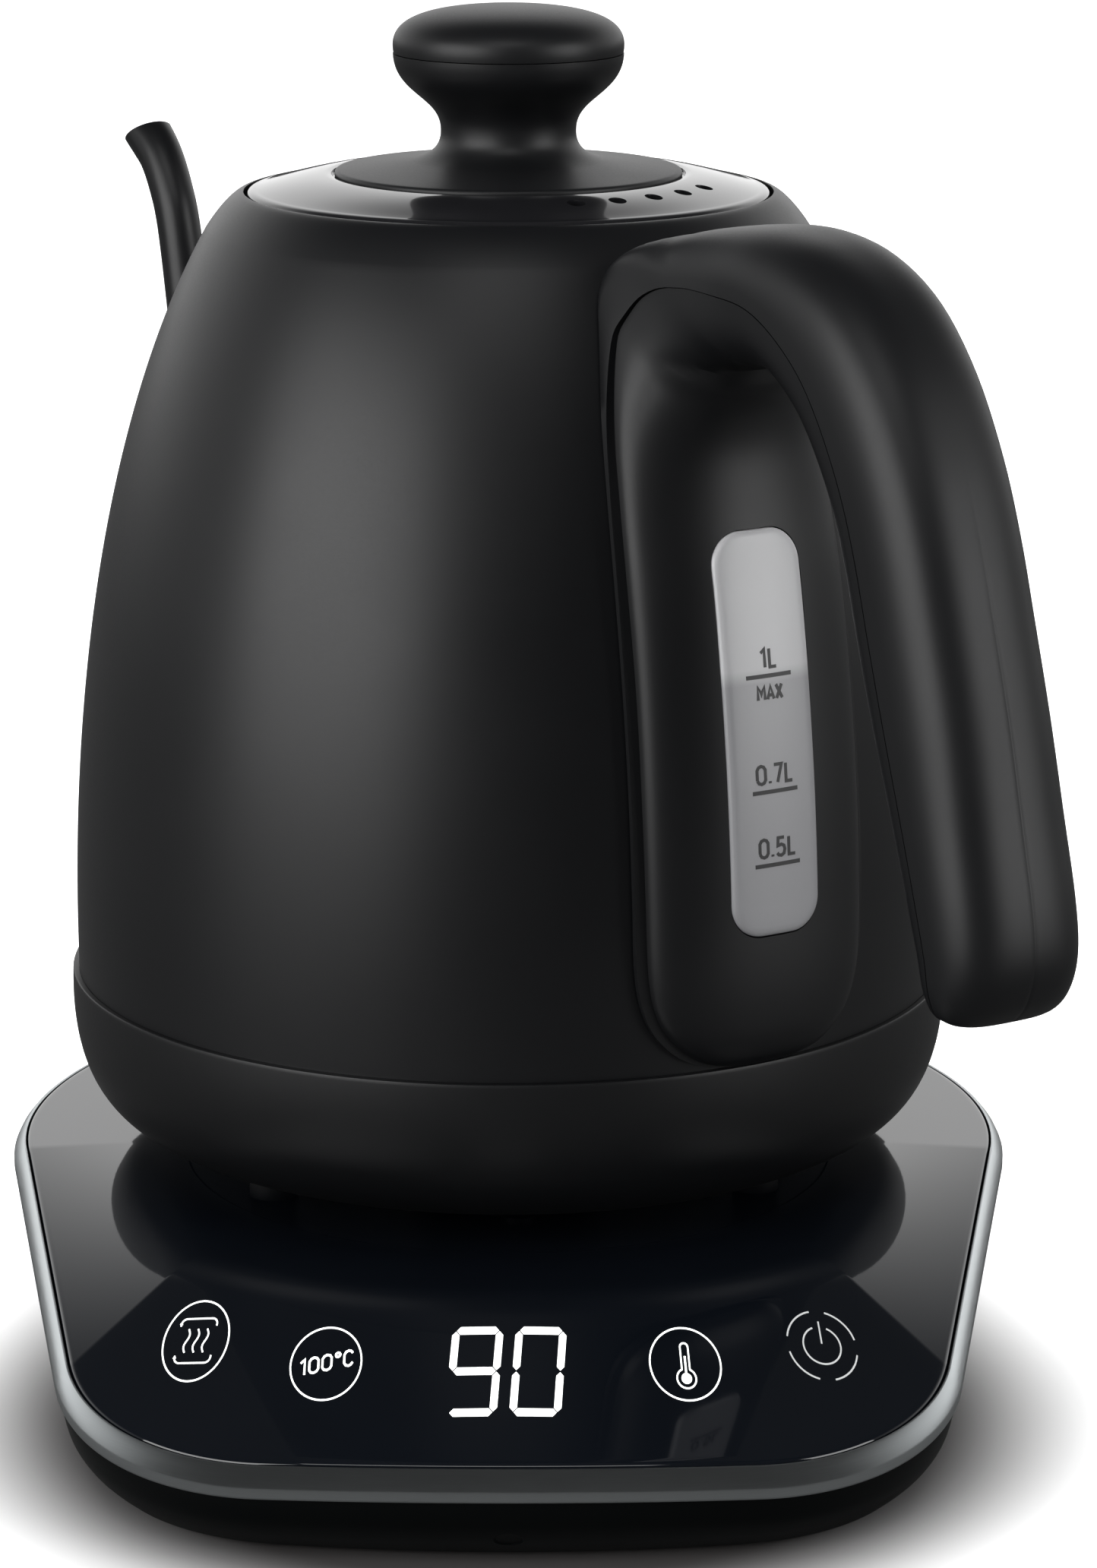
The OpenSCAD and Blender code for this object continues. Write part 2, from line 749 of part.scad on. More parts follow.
screw_places = [[50, 30], [-50, 30], [48, -88], [-48, -88]];

module base_screws() {
    color(steel) for (p = screw_places) {
        translate([p[0], p[1], 0.4]) union() {
            cylinder(h = 1.2, r = 3, $fn = 32);
            cylinder(h = 7, r = 1.5, $fn = 32);
        }
    }
}

module foot_ring() {
    color(dark_rubber) difference() {
        cylinder(h = 1.6, r = 70);
        translate([0, 0, -1]) cylinder(h = 4, r = 65);
    }
}

module front_feet() {
    color(dark_rubber) for (x = [-34, 34]) {
        translate([x, -104, 0]) cylinder(h = 1.6, r = 6, $fn = 48);
    }
}

// Where each touch control sits: x and y
touch_places = [[-49.7, -93.8], [-28.7, -103.2], [27.8, -103.4], [49.8, -95]];
display_y = -106.7;
board_top = 9.6;
// Lowest point of the glass's underside over a post of radius r at place p
function post_top(p, r) = top_at(norm(p) + r) - glass_t - 0.5;

module control_board() {
    color([0.05, 0.30, 0.14]) translate([-56, -112, board_top - 1.6]) cube([112, 27, 1.6]);
}

module display_module() {
    color([0.15, 0.15, 0.16]) translate([-12, display_y - 5, board_top + 0.1])
        cube([24, 10, post_top([12, display_y - 5], 0) - board_top - 0.1]);
}

module touch_springs() {
    color(brass_colour) for (p = touch_places) {
        translate([p[0], p[1], board_top + 0.1]) difference() {
            cylinder(h = post_top(p, 5.5) - board_top - 0.1, r = 5.5, $fn = 48);
            translate([0, 0, -1]) cylinder(h = 20, r = 4.9, $fn = 48);
        }
    }
}

module light_guides() {
    color([0.85, 0.85, 0.85]) for (p = touch_places) {
        translate([p[0], p[1], board_top + 0.1])
            cylinder(h = post_top(p, 5.5) - board_top - 0.1, r = 4.6, $fn = 48);
    }
}

module power_board() {
    color([0.10, 0.32, 0.16]) translate([-34, 26, 7.2]) cube([68, 40, 1.6]);
}

module relay() {
    color([0.12, 0.25, 0.55]) translate([-30, 32, 8.9]) cube([19, 15.5, 14.5]);
}

module transformer() {
    color([0.85, 0.70, 0.20]) translate([4, 30, 8.9]) union() {
        cube([24, 20, 4]);
        translate([3, 3, 4 - eps]) cube([18, 14, 10]);
    }
}

// Control symbols lie just proud of the glass, drawn tall so that they read round from in front
icon_t = 0.06;
icon_stretch = 1.7;
slope_tilt = atan((glass_z - glass_front_z) / slope_full);

// Local frame on the cone: x across, y up the slope, z out of the glass
module on_glass(p) {
    turn = atan2(p[1], p[0]) + 90;
    translate([p[0], p[1], top_at(norm(p))]) rotate([0, 0, turn]) rotate([slope_tilt, 0, 0])
        rotate([0, 0, -turn]) children();
}

module icon_ring(r, w) {
    linear_extrude(icon_t) difference() {
        oval(r);
        oval(r - w);
    }
}

module oval(r) {
    polygon([for (q = [0:7.5:352.5]) [r * cos(q), icon_stretch * r * sin(q)]]);
}

module digit_bar(x, y, w, h) {
    translate([x, y, 0]) cube([w, h, icon_t]);
}

// Strokes of a seven-bar figure that is w wide and h tall
module digit_frame(w, h, bar) {
    translate([-w / 2, -h / 2, 0]) union() {
        digit_bar(0, h - bar * icon_stretch, w, bar * icon_stretch);
        digit_bar(w - bar, 0, bar, h);
        digit_bar(0, 0, w, bar * icon_stretch);
        digit_bar(0, h / 2, bar, h / 2);
    }
}

digit_w = 6.6;
digit_h = 21;
digit_bar_w = 1.3;

module control_icons() {
    color(glow) {
        for (p = touch_places) {
            on_glass(p) icon_ring(5.3, 0.3);
        }
        on_glass([-5.3, display_y]) union() {
            digit_frame(digit_w, digit_h, digit_bar_w);
            digit_bar(-digit_w / 2, -digit_bar_w, digit_w, 2 * digit_bar_w);
        }
        on_glass([4.7, display_y]) union() {
            digit_frame(digit_w, digit_h, digit_bar_w);
            digit_bar(-digit_w / 2, -digit_h / 2, digit_bar_w, digit_h / 2 + eps);
        }
    }
}

module cord_gland() {
    color(dark_rubber) translate([0, 0, gland_z]) rotate([-90, 0, 0]) difference() {
        translate([0, 0, 74]) cylinder(h = 11, r = gland_r, $fn = 48);
        translate([0, 0, 70]) cylinder(h = 20, r = cord_hole_r, $fn = 48);
    }
}

// ---------- nodes ----------

body_shell();
casing();
heater_plate();
floor_seal();
heat_spreader();
heating_element();
thermal_cutouts();
temperature_probe();
probe_grommet();
bottom_cover();
kettle_feet();
cover_screws();
spout_tube();
spout_flange();
spout_strainer();
handle_shell();
handle_liner();
handle_bracket();
handle_screws();
level_window();
window_seal();
level_marks();
connector_socket();
socket_contacts();
lid_ring();
lid_disc();
knob_cap();
knob_screw();
lid_skirt();
lid_gasket();
base_glass();
base_rim();
base_housing();
base_floor();
foot_ring();
front_feet();
base_screws();
connector_boss();
boss_contacts();
control_board();
display_module();
touch_springs();
light_guides();
power_board();
relay();
transformer();
control_icons();
cord_gland();
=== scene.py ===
"""Looks of a gooseneck kettle on its powered touch base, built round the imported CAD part."""

import json
import math
from bisect import bisect_left

import bmesh
import bpy
from mathutils import Matrix, Vector

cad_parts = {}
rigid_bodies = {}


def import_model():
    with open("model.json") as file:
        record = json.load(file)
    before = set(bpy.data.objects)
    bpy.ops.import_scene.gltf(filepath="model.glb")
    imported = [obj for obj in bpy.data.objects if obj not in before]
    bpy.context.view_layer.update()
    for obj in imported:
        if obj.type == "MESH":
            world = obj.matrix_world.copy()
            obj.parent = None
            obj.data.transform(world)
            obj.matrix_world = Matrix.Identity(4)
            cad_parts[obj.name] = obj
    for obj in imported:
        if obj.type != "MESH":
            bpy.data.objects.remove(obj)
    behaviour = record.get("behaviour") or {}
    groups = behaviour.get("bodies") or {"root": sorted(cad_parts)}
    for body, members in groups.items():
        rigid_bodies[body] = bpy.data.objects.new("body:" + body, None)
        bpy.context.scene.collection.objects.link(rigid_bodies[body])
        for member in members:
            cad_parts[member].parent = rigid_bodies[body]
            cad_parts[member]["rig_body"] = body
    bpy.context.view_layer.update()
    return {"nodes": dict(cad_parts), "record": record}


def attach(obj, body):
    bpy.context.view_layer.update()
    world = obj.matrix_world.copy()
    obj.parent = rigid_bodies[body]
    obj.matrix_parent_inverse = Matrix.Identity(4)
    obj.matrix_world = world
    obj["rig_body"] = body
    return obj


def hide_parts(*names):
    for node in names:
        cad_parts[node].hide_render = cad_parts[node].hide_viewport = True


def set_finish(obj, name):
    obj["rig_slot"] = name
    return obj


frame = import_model()

# ---------- sizes in millimetres, as in the CAD source ----------

MM = 0.001
SEAM_Z = 62.0
KETTLE_YAW = 32.5
MOUTH_R = 44.7
LEDGE_Z, LEDGE_R, LEDGE_T = 130.6, 41.0, 1.5
COLLAR_H, COLLAR_T = 5, 0.9
BODY_WALL, CASING_WALL = 1.0, 2.2
FULL_LINE_Z = 65.1
BODY_CURVE = [(74.9, 0), (75.9, 45.4), (69.35, 95.5), (51.1, 128)]
SHOULDER_CURVE = [(51.1, 128), (49, 131.2), (MOUTH_R + 1.6, 134.2), (MOUTH_R, 134.2)]
CASING_CURVE = [(75.96, 0), (76.6, -15.5), (72.3, -27.15), (56.6, -27.05)]
LID_TOP = 134.6
LID_FIT = 0.5
DISC_R, DISC_Z = 29.3, 137.8
KNOB_R, KNOB_SEAM_Z = 19.6, 157.2
GLASS_Z, GLASS_FRONT_Z, GLASS_T = 30.8, 17.0, 3.0
FLAT_R, FOLD_SOFT = 84.0, 10.0
BASE_R, BASE_FRONT, BASE_HALF_W, CORNER_R, BOW_R = 87.0, 131.0, 73.0, 42.0, 220.0
BOSS_R = 15.0


def placed(turn):
    """The kettle's own frame, turned about the vertical axis."""
    return Matrix.Translation((0, 0, SEAM_Z)) @ Matrix.Rotation(math.radians(KETTLE_YAW + turn), 4, "Z")


KETTLE = placed(0)
HANDLE = placed(-90)
SPOUT = placed(90)
BASE = Matrix.Identity(4)

# ---------- curves ----------


def mix(a, b, t):
    return tuple(p + (q - p) * t for p, q in zip(a, b))


def clamp(t):
    return min(max(t, 0), 1)


def bez(p, t):
    weights = ((1 - t) ** 3, 3 * (1 - t) ** 2 * t, 3 * (1 - t) * t * t, t**3)
    return tuple(sum(w * q[k] for w, q in zip(weights, p)) for k in range(len(p[0])))


def bez_points(p, n, first=0):
    return [bez(p, i / n) for i in range(first, n + 1)]


def arc(c, r, start, end, n):
    angles = [math.radians(start + (end - start) * i / n) for i in range(n + 1)]
    return [(c[0] + r * math.cos(a), c[1] + r * math.sin(a)) for a in angles]


def row_at(rows, u):
    """Smooth curve through the rows of a table, at row number u."""
    last = len(rows) - 1
    i = min(int(u), last - 1)
    t = u - i
    four = zip(rows[max(i - 1, 0)], rows[i], rows[i + 1], rows[min(i + 2, last)])
    return [
        0.5 * (2 * b + (c - a) * t + (2 * a - 5 * b + 4 * c - d) * t * t + (3 * b - a - 3 * c + d) * t**3)
        for a, b, c, d in four
    ]


def smooth_rows(rows, per):
    return [row_at(rows, k / per) for k in range((len(rows) - 1) * per + 1)]


# ---------- meshes: each shape is a list of vertices in mm and a list of faces ----------

ON_AXIS = 1e-6
WELD_M = 1e-7
SHARP_ANGLE = 32
MITRE_LIMIT = 0.45


def revolve(profile, segments=192):
    """Skin of a closed profile of (radius, height) turned about the axis."""
    verts, rows, faces = [], [], []
    turn = [2 * math.pi * j / segments for j in range(segments)]
    for r, z in profile:
        if r < ON_AXIS:
            rows.append([len(verts)] * segments)
            verts.append((0, 0, z))
        else:
            rows.append(list(range(len(verts), len(verts) + segments)))
            verts += [(r * math.cos(a), r * math.sin(a), z) for a in turn]
    for i, low in enumerate(rows):
        high = rows[(i + 1) % len(rows)]
        for j in range(segments):
            k = (j + 1) % segments
            face = list(dict.fromkeys((low[j], low[k], high[k], high[j])))
            if len(face) > 2:
                faces.append(face)
    return verts, faces


def skin(rings, closed=False, caps=True):
    """Skin over rings of equal count; open rows of rings are capped by a fan at each end."""
    m, n = len(rings[0]), len(rings)
    verts = [p for ring in rings for p in ring]
    faces = []
    for i in range(n if closed else n - 1):
        up = ((i + 1) % n) * m
        for j in range(m):
            k = (j + 1) % m
            faces.append((i * m + j, i * m + k, up + k, up + j))
    if caps and not closed:
        for i in (0, n - 1):
            middle = len(verts)
            verts.append(tuple(sum(p[a] for p in rings[i]) / m for a in range(3)))
            faces += [(middle, i * m + j, i * m + (j + 1) % m) for j in range(m)]
    return verts, faces


def merge(shapes):
    verts, faces = [], []
    for v, f in shapes:
        faces += [tuple(i + len(verts) for i in face) for face in f]
        verts += v
    return verts, faces


def bar(r, low, high, segments=48):
    """A round bar along the axis."""
    return revolve([(0, low), (r, low), (r, high), (0, high)], segments)


def moved(shape, place):
    verts, faces = shape
    return [tuple(place @ Vector(v)) for v in verts], faces


def ribbon(points, half_w, place, low, high, closed=False):
    """A raised strip along 2-D points. place(u, v, h) puts it on a surface."""
    n = len(points)
    sides = []
    for i, p in enumerate(points):
        before = points[i - 1] if (i or closed) else None
        after = points[(i + 1) % n] if (i < n - 1 or closed) else None
        ways = []
        for a, b in ((before, p), (p, after)):
            if a is not None and b is not None:
                d = Vector((b[0] - a[0], b[1] - a[1])).normalized()
                ways.append(Vector((-d.y, d.x)))
        out = sum(ways, Vector((0, 0)))
        out = out / max(out.dot(ways[0]), MITRE_LIMIT) * half_w
        sides.append([(p[0] + out.x, p[1] + out.y), (p[0] - out.x, p[1] - out.y)])
    rings = [[place(*a, high), place(*b, high), place(*b, low), place(*a, low)] for a, b in sides]
    return skin([[tuple(p) for p in ring] for ring in rings], closed)


def add_piece(name, shape, place, body, nodes, slot, materials, sharp=SHARP_ANGLE, pick=None):
    """Makes a closed mesh piece that stands for CAD nodes. pick(centre) gives a face's material number."""
    verts, faces = shape
    mesh = bpy.data.meshes.new(name)
    mesh.from_pydata([place @ Vector(v) * MM for v in verts], [], faces)
    tidy = bmesh.new()
    tidy.from_mesh(mesh)
    bmesh.ops.remove_doubles(tidy, verts=tidy.verts, dist=WELD_M)
    bmesh.ops.dissolve_degenerate(tidy, edges=tidy.edges, dist=WELD_M)
    bmesh.ops.recalc_face_normals(tidy, faces=tidy.faces)
    tidy.to_mesh(mesh)
    tidy.free()
    for material in materials:
        mesh.materials.append(material)
    mesh.shade_smooth()
    mesh.set_sharp_from_angle(angle=math.radians(sharp))
    if pick:
        back = (place.inverted() @ Matrix.Scale(1 / MM, 4)).freeze()
        for face in mesh.polygons:
            face.material_index = pick(back @ face.center)
    piece = bpy.data.objects.new(name, mesh)
    bpy.context.scene.collection.objects.link(piece)
    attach(piece, body)
    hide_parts(*nodes)
    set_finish(piece, slot)
    return piece


def cut(piece, cutters):
    """Cuts closed shapes out of a piece for good."""
    body, slot = piece["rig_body"], piece["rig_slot"]
    tool = add_piece(piece.name + "_cutter", cutters, Matrix.Identity(4), body, [], slot, [])
    step = piece.modifiers.new("cut", "BOOLEAN")
    step.operation, step.object, step.solver = "DIFFERENCE", tool, "EXACT"
    bpy.context.view_layer.update()
    with_cut = piece.evaluated_get(bpy.context.evaluated_depsgraph_get())
    mesh = bpy.data.meshes.new_from_object(with_cut)
    piece.modifiers.clear()
    piece.data = mesh
    mesh.set_sharp_from_angle(angle=math.radians(SHARP_ANGLE))
    bpy.data.objects.remove(tool)


# ---------- materials ----------

NOISE_SPAN, NOISE_DETAIL = (0.25, 0.75), 3.0
BROAD_GRAIN = 28.0
RELIEF_DEPTH = 0.00004


def link(tree, a, b):
    tree.links.new(a, b)


def noise_node(tree, coords, scale, stretch):
    mapping = tree.nodes.new("ShaderNodeMapping")
    mapping.inputs["Scale"].default_value = stretch
    link(tree, coords, mapping.inputs["Vector"])
    noise = tree.nodes.new("ShaderNodeTexNoise")
    noise.inputs["Scale"].default_value = scale
    noise.inputs["Detail"].default_value = NOISE_DETAIL
    link(tree, mapping.outputs["Vector"], noise.inputs["Vector"])
    return noise.outputs["Fac"]


def math_node(tree, operation, *values):
    """A math node; each value is a float or another node's output."""
    node = tree.nodes.new("ShaderNodeMath")
    node.operation = operation
    for socket, value in zip(node.inputs, values):
        if isinstance(value, float):
            socket.default_value = value
        else:
            link(tree, value, socket)
    return node.outputs[0]


def map_range(tree, value, span, to=(0.0, 1.0), smooth=False):
    """Carries a value from one span to another; smooth eases both ends."""
    node = tree.nodes.new("ShaderNodeMapRange")
    if smooth:
        node.interpolation_type = "SMOOTHSTEP"
    for socket, number in zip(("From Min", "From Max", "To Min", "To Max"), (*span, *to)):
        node.inputs[socket].default_value = number
    link(tree, value, node.inputs["Value"])
    return node.outputs["Result"]


def colour_mix(tree, value, dark, light):
    node = tree.nodes.new("ShaderNodeMix")
    node.data_type = "RGBA"
    link(tree, value, node.inputs["Factor"])
    node.inputs["A"].default_value, node.inputs["B"].default_value = (*dark, 1), (*light, 1)
    return node.outputs["Result"]


def add_relief(tree, shader, height, strength):
    relief = tree.nodes.new("ShaderNodeBump")
    relief.inputs["Strength"].default_value = strength
    relief.inputs["Distance"].default_value = RELIEF_DEPTH
    link(tree, height, relief.inputs["Height"])
    link(tree, relief.outputs["Normal"], shader.inputs["Normal"])


def make_material(name, colour, rough, metallic=0.0, vary=0.15, rough_vary=0.05, grain=2500.0, bump=0.08,
                  stretch=(1, 1, 1), glow=0.0, **sockets):
    """A principled material with noise in its colour, roughness and surface."""
    material = bpy.data.materials.new(name)
    material.use_nodes = True
    tree = material.node_tree
    shader = tree.nodes["Principled BSDF"]
    coords = tree.nodes.new("ShaderNodeTexCoord").outputs["Object"]
    half_broad = math_node(tree, "MULTIPLY", noise_node(tree, coords, BROAD_GRAIN, (1, 1, 1)), 0.5)
    fine = noise_node(tree, coords, grain, stretch)
    both = math_node(tree, "MULTIPLY_ADD", fine, 0.5, half_broad)
    dark = [c * (1 - vary) for c in colour]
    light = [min(c * (1 + vary), 1) for c in colour]
    tint = colour_mix(tree, both, dark, light)
    link(tree, tint, shader.inputs["Base Color"])
    roughness = map_range(tree, both, NOISE_SPAN, (rough - rough_vary, rough + rough_vary))
    link(tree, roughness, shader.inputs["Roughness"])
    add_relief(tree, shader, fine, bump)
    shader.inputs["Metallic"].default_value = metallic
    if glow:
        link(tree, tint, shader.inputs["Emission Color"])
        shader.inputs["Emission Strength"].default_value = glow
    for socket, value in sockets.items():
        shader.inputs[socket.replace("_", " ")].default_value = value
    return material


BLACK = (0.0026, 0.0028, 0.0034)
DULL = dict(Specular_IOR_Level=0.32)
BRUSHED = dict(stretch=(1, 1, 40), grain=160.0, rough_vary=0.08, bump=0.10, metallic=1.0)
LOOKS = {
    "coated_steel": dict(colour=BLACK, rough=0.40, grain=3200.0, bump=0.14, **DULL),
    "black_plastic": dict(colour=(0.0020, 0.0022, 0.0027), rough=0.44, grain=2600.0, bump=0.18, **DULL),
    "soft_black": dict(colour=(0.0030, 0.0032, 0.0038), rough=0.45, grain=3000.0, bump=0.12, **DULL),
    "steel": dict(colour=(0.62, 0.63, 0.64), rough=0.30, **BRUSHED),
    "silicone": dict(colour=(0.22, 0.22, 0.23), rough=0.55, grain=900.0),
    "silicone_red": dict(colour=(0.52, 0.10, 0.06), rough=0.55, grain=900.0),
    "aluminium": dict(colour=(0.72, 0.72, 0.74), rough=0.42, metallic=1.0, grain=700.0, bump=0.3),
    "element_sheath": dict(colour=(0.24, 0.22, 0.21), rough=0.38, metallic=1.0, vary=0.35),
    "ceramic": dict(colour=(0.66, 0.62, 0.50), rough=0.5, grain=1200.0),
    "rubber": dict(colour=(0.03, 0.03, 0.03), rough=0.68, grain=1500.0, bump=0.3),
    "window": dict(colour=(0.40, 0.40, 0.41), rough=0.34, rough_vary=0.06, grain=1800.0, bump=0.05),
    "print_dark": dict(colour=(0.012, 0.012, 0.013), rough=0.5, grain=2000.0),
    "brass": dict(colour=(0.78, 0.56, 0.22), rough=0.28, metallic=1.0, grain=1200.0),
    "gloss_black": dict(colour=(0.008, 0.008, 0.009), rough=0.08, rough_vary=0.02, grain=300.0, bump=0.01,
                        Coat_Weight=0.1, Coat_Roughness=0.03),
    "black_glass": dict(colour=(0.003, 0.004, 0.006), rough=0.045, rough_vary=0.02, grain=60.0, bump=0.0,
                        Coat_Weight=0.1, Coat_Roughness=0.02),
    "brushed_rim": dict(colour=(0.52, 0.55, 0.56), rough=0.34, **BRUSHED),
    "board": dict(colour=(0.02, 0.20, 0.07), rough=0.35, grain=500.0),
    "diffuser": dict(colour=(0.8, 0.8, 0.8), rough=0.15, grain=700.0),
    "blue_plastic": dict(colour=(0.03, 0.10, 0.42), rough=0.4, grain=1500.0),
    "winding": dict(colour=(0.80, 0.58, 0.08), rough=0.45, grain=400.0, stretch=(1, 1, 12)),
    "icon_glow": dict(colour=(0.93, 0.94, 0.92), rough=0.4, vary=0.04, grain=1500.0, glow=1.3),
    # The last three aren't slots of the part: the housing, the screws under the kettle and the dim symbol
    # A darker, less shiny copy of the black plastic: painted shade for the housing, low under the rim
    "housing_black_painted_shade": dict(colour=(0.0008, 0.0012, 0.0013), rough=0.38, grain=2600.0, Specular_IOR_Level=0.12),
    # Darkened steel for the screws under the kettle: painted shade where the kettle shadows them
    "steel_painted_shade": dict(colour=(0.02, 0.02, 0.021), rough=0.5, metallic=1.0, grain=900.0),
    "icon_dim": dict(colour=(0.42, 0.43, 0.43), rough=0.4, vary=0.04, grain=1500.0, glow=0.55),
}
MATERIALS = {name: make_material(name, **look) for name, look in LOOKS.items()}

WINDOW_GREY, WINDOW_PALE = (0.25, 0.25, 0.26), (0.42, 0.42, 0.43)
WINDOW_BLEND = 1.2


def set_window_tones(material, line_z):
    """Makes the window paler above the full line and greyer below it."""
    tree = material.node_tree
    split = tree.nodes.new("ShaderNodeSeparateXYZ")
    link(tree, tree.nodes["Texture Coordinate"].outputs["Object"], split.inputs["Vector"])
    span = ((line_z - WINDOW_BLEND) * MM, (line_z + WINDOW_BLEND) * MM)
    tone = colour_mix(tree, map_range(tree, split.outputs["Z"], span), WINDOW_GREY, WINDOW_PALE)
    link(tree, tone, tree.nodes["Principled BSDF"].inputs["Base Color"])


set_window_tones(MATERIALS["window"], SEAM_Z + FULL_LINE_Z)

NODE_SLOTS = {part["node"]: part["material_slot"] for part in frame["record"]["subparts"]}
for node, node_object in frame["nodes"].items():
    # The screws under the kettle take the darkened steel, which is painted shade
    look = "steel_painted_shade" if node == "cover_screws" else NODE_SLOTS[node]
    node_object.data.materials.clear()
    node_object.data.materials.append(MATERIALS[look])


def build(name, shape, place, body, nodes=None, **more):
    """A piece that stands for the CAD node of the same name, or for the named ones."""
    nodes = nodes or [name]
    slot = NODE_SLOTS[nodes[0]]
    materials = more.pop("materials", [MATERIALS[slot]])
    return add_piece(name, shape, place, body, nodes, slot, materials, **more)


# ---------- kettle body ----------

BODY_STEPS, SHOULDER_STEPS, CASING_STEPS = 96, 24, 64
BODY_LINE = bez_points(BODY_CURVE, BODY_STEPS) + bez_points(SHOULDER_CURVE, SHOULDER_STEPS, 1)
LINE_Z = [p[1] for p in BODY_LINE]
LEAST_RISE = 1e-9
CASING_INNER = slice(56, 4, -1)


def body_r(z):
    """Radius of the body's outside at height z above the seam."""
    k = min(max(bisect_left(LINE_Z, z), 1), len(LINE_Z) - 1)
    (r0, z0), (r1, z1) = BODY_LINE[k - 1], BODY_LINE[k]
    return r0 + (r1 - r0) * clamp((z - z0) / max(z1 - z0, LEAST_RISE))


def body_profile():
    """Outside from the seam up, the ledge and collar that the lid stands in, and the inside back down."""
    inside = [(r - BODY_WALL, z) for r, z in bez_points(BODY_CURVE, BODY_STEPS)]
    under, foot, collar_r = LEDGE_Z - LEDGE_T, LEDGE_Z - COLLAR_H, LEDGE_R + COLLAR_T
    ledge = [(MOUTH_R, LEDGE_Z), (LEDGE_R, LEDGE_Z), (LEDGE_R, foot), (collar_r, foot), (collar_r, under),
             (MOUTH_R + 0.2, under)]
    return BODY_LINE + ledge + inside[::-1]


def casing_profile():
    """Outside from the seam down and under, then the inside back up to a lip that meets the body."""
    outer = bez_points(CASING_CURVE, CASING_STEPS)
    inner = [(r - CASING_WALL, z + CASING_WALL * i / CASING_STEPS) for i, (r, z) in enumerate(outer)]
    seam_r, (foot_r, foot_z) = CASING_CURVE[0][0], CASING_CURVE[-1]
    lip = [(74.0, -0.1), (75.0, -0.1), (75.0, 0.0), (75.75, 0.0), (75.9, -0.1)]
    return [(seam_r, -0.25)] + outer[1:] + [(foot_r, foot_z + CASING_WALL)] + inner[CASING_INNER] + lip


def is_inside(centre):
    """1 for the bare steel inside of the body, 0 for its coated outside."""
    r = math.hypot(centre.x, centre.y)
    return int(centre.z < BODY_CURVE[-1][1] and r < body_r(centre.z) - BODY_WALL / 2)


build("body_shell", revolve(body_profile()), KETTLE, "kettle",
      materials=[MATERIALS["coated_steel"], MATERIALS["steel"]], pick=is_inside)
build("casing", revolve(casing_profile()), KETTLE, "kettle")

# ---------- handle ----------

# Each row: outer point, inner point, half width of the shell and of the liner, place of the seam
HANDLE_ROWS = [
    (75.2, 0.5, 76.9, 0.5, 8.0, 6.5, 0.4),
    (75.3, 2.2, 78.6, 2.2, 13.5, 11.8, 0.3),
    (75.3, 5.5, 79.9, 5.5, 17.8, 16.0, 0.26),
    (75.3, 10, 80.5, 10, 20.6, 18.9, 0.24),
    (75.3, 17, 80.8, 17, 22.1, 20.4, 0.24),
    (75.0, 30, 80.5, 30, 22.4, 20.7, 0.24),
    (73.7, 46, 79.2, 46, 22.3, 20.7, 0.24),
    (71.5, 63, 77.1, 63, 22.1, 20.5, 0.24),
    (68.5, 80, 74.5, 80, 21.8, 20.3, 0.24),
    (65.2, 93, 71.6, 92, 21.1, 19.7, 0.24),
    (61.4, 105, 70.4, 100.5, 20.1, 18.7, 0.24),
    (57.1, 116.5, 71.6, 107, 18.1, 17, 0.28),
    (53.3, 125.3, 74.8, 111.5, 16.3, 15.5, 0.38),
    (55, 130.8, 79, 114.4, 14.9, 14.4, 0.37),
    (62, 134.5, 82.5, 115.5, 14, 13.7, 0.37),
    (74, 136.8, 86, 115.8, 13.1, 13, 0.45),
    (86, 137.6, 90, 115, 12.9, 12.9, 0.5),
    (98, 135.8, 94.5, 112.3, 12.8, 12.8, 0.57),
    (109, 130.5, 99.3, 108.3, 12.8, 12.8, 0.62),
    (118.5, 121, 104, 102.5, 12.8, 12.8, 0.66),
    (126, 108.5, 108, 96, 12.8, 12.8, 0.68),
    (131, 96.5, 111, 88, 12.8, 12.8, 0.68),
    (135, 84, 113.8, 79, 12.8, 12.8, 0.68),
    (139.5, 69, 118, 67, 12.8, 12.8, 0.68),
    (143.2, 54, 123.3, 54, 12.8, 12.8, 0.68),
    (146.2, 41.5, 127.8, 42.5, 12.8, 12.8, 0.68),
    (146.9, 33.4, 130.8, 34.6, 12.6, 12.6, 0.68),
    (145.2, 27.6, 132.4, 28.8, 12, 12, 0.68),
    (142.3, 24.2, 134.3, 24.9, 10.2, 10.2, 0.68),
    (139.6, 23.2, 136.2, 23.4, 5.8, 5.8, 0.66),
]
# Up to HUG_ROW a section lies on the body, and from FREE_ROW on it is clear of it
HUG_ROW, FREE_ROW, BODY_GAP = 11.5, 14, 0.3
GAP_RANGE, GAP_HALVINGS = (-1.0, 3.5), 14
# Up to SQUARE_ROW the shell is squarish towards the body, and from ROUND_ROW on it is round
SQUARE_ROW, ROUND_ROW, ROUND_CROWN, SQUARE_GAIN = 11, 14, 2.9, 9
ROWS_PER, ACROSS, SEAM_STEPS, HANDLE_SEAM = 5, 40, 16, 0.2
# The mould line starts at MOULD_LINE_ROW and has its full depth MOULD_LINE_FADE rows on
MOULD_LINE_DEPTH, MOULD_LINE_HALF_W, MOULD_LINE_ROW, MOULD_LINE_FADE = 0.09, 0.012, 20, 3
# Sideways places of a section's points, from 1 to -1, with a fine pair round the mould line
SIDE_PLACES = [math.cos(math.pi * j / ACROSS) for j in range(ACROSS // 2)]
MIDDLE_PLACES = [MOULD_LINE_HALF_W, 0, -MOULD_LINE_HALF_W]
ACROSS_PLACES = SIDE_PLACES + MIDDLE_PLACES + [-s for s in reversed(SIDE_PLACES)]


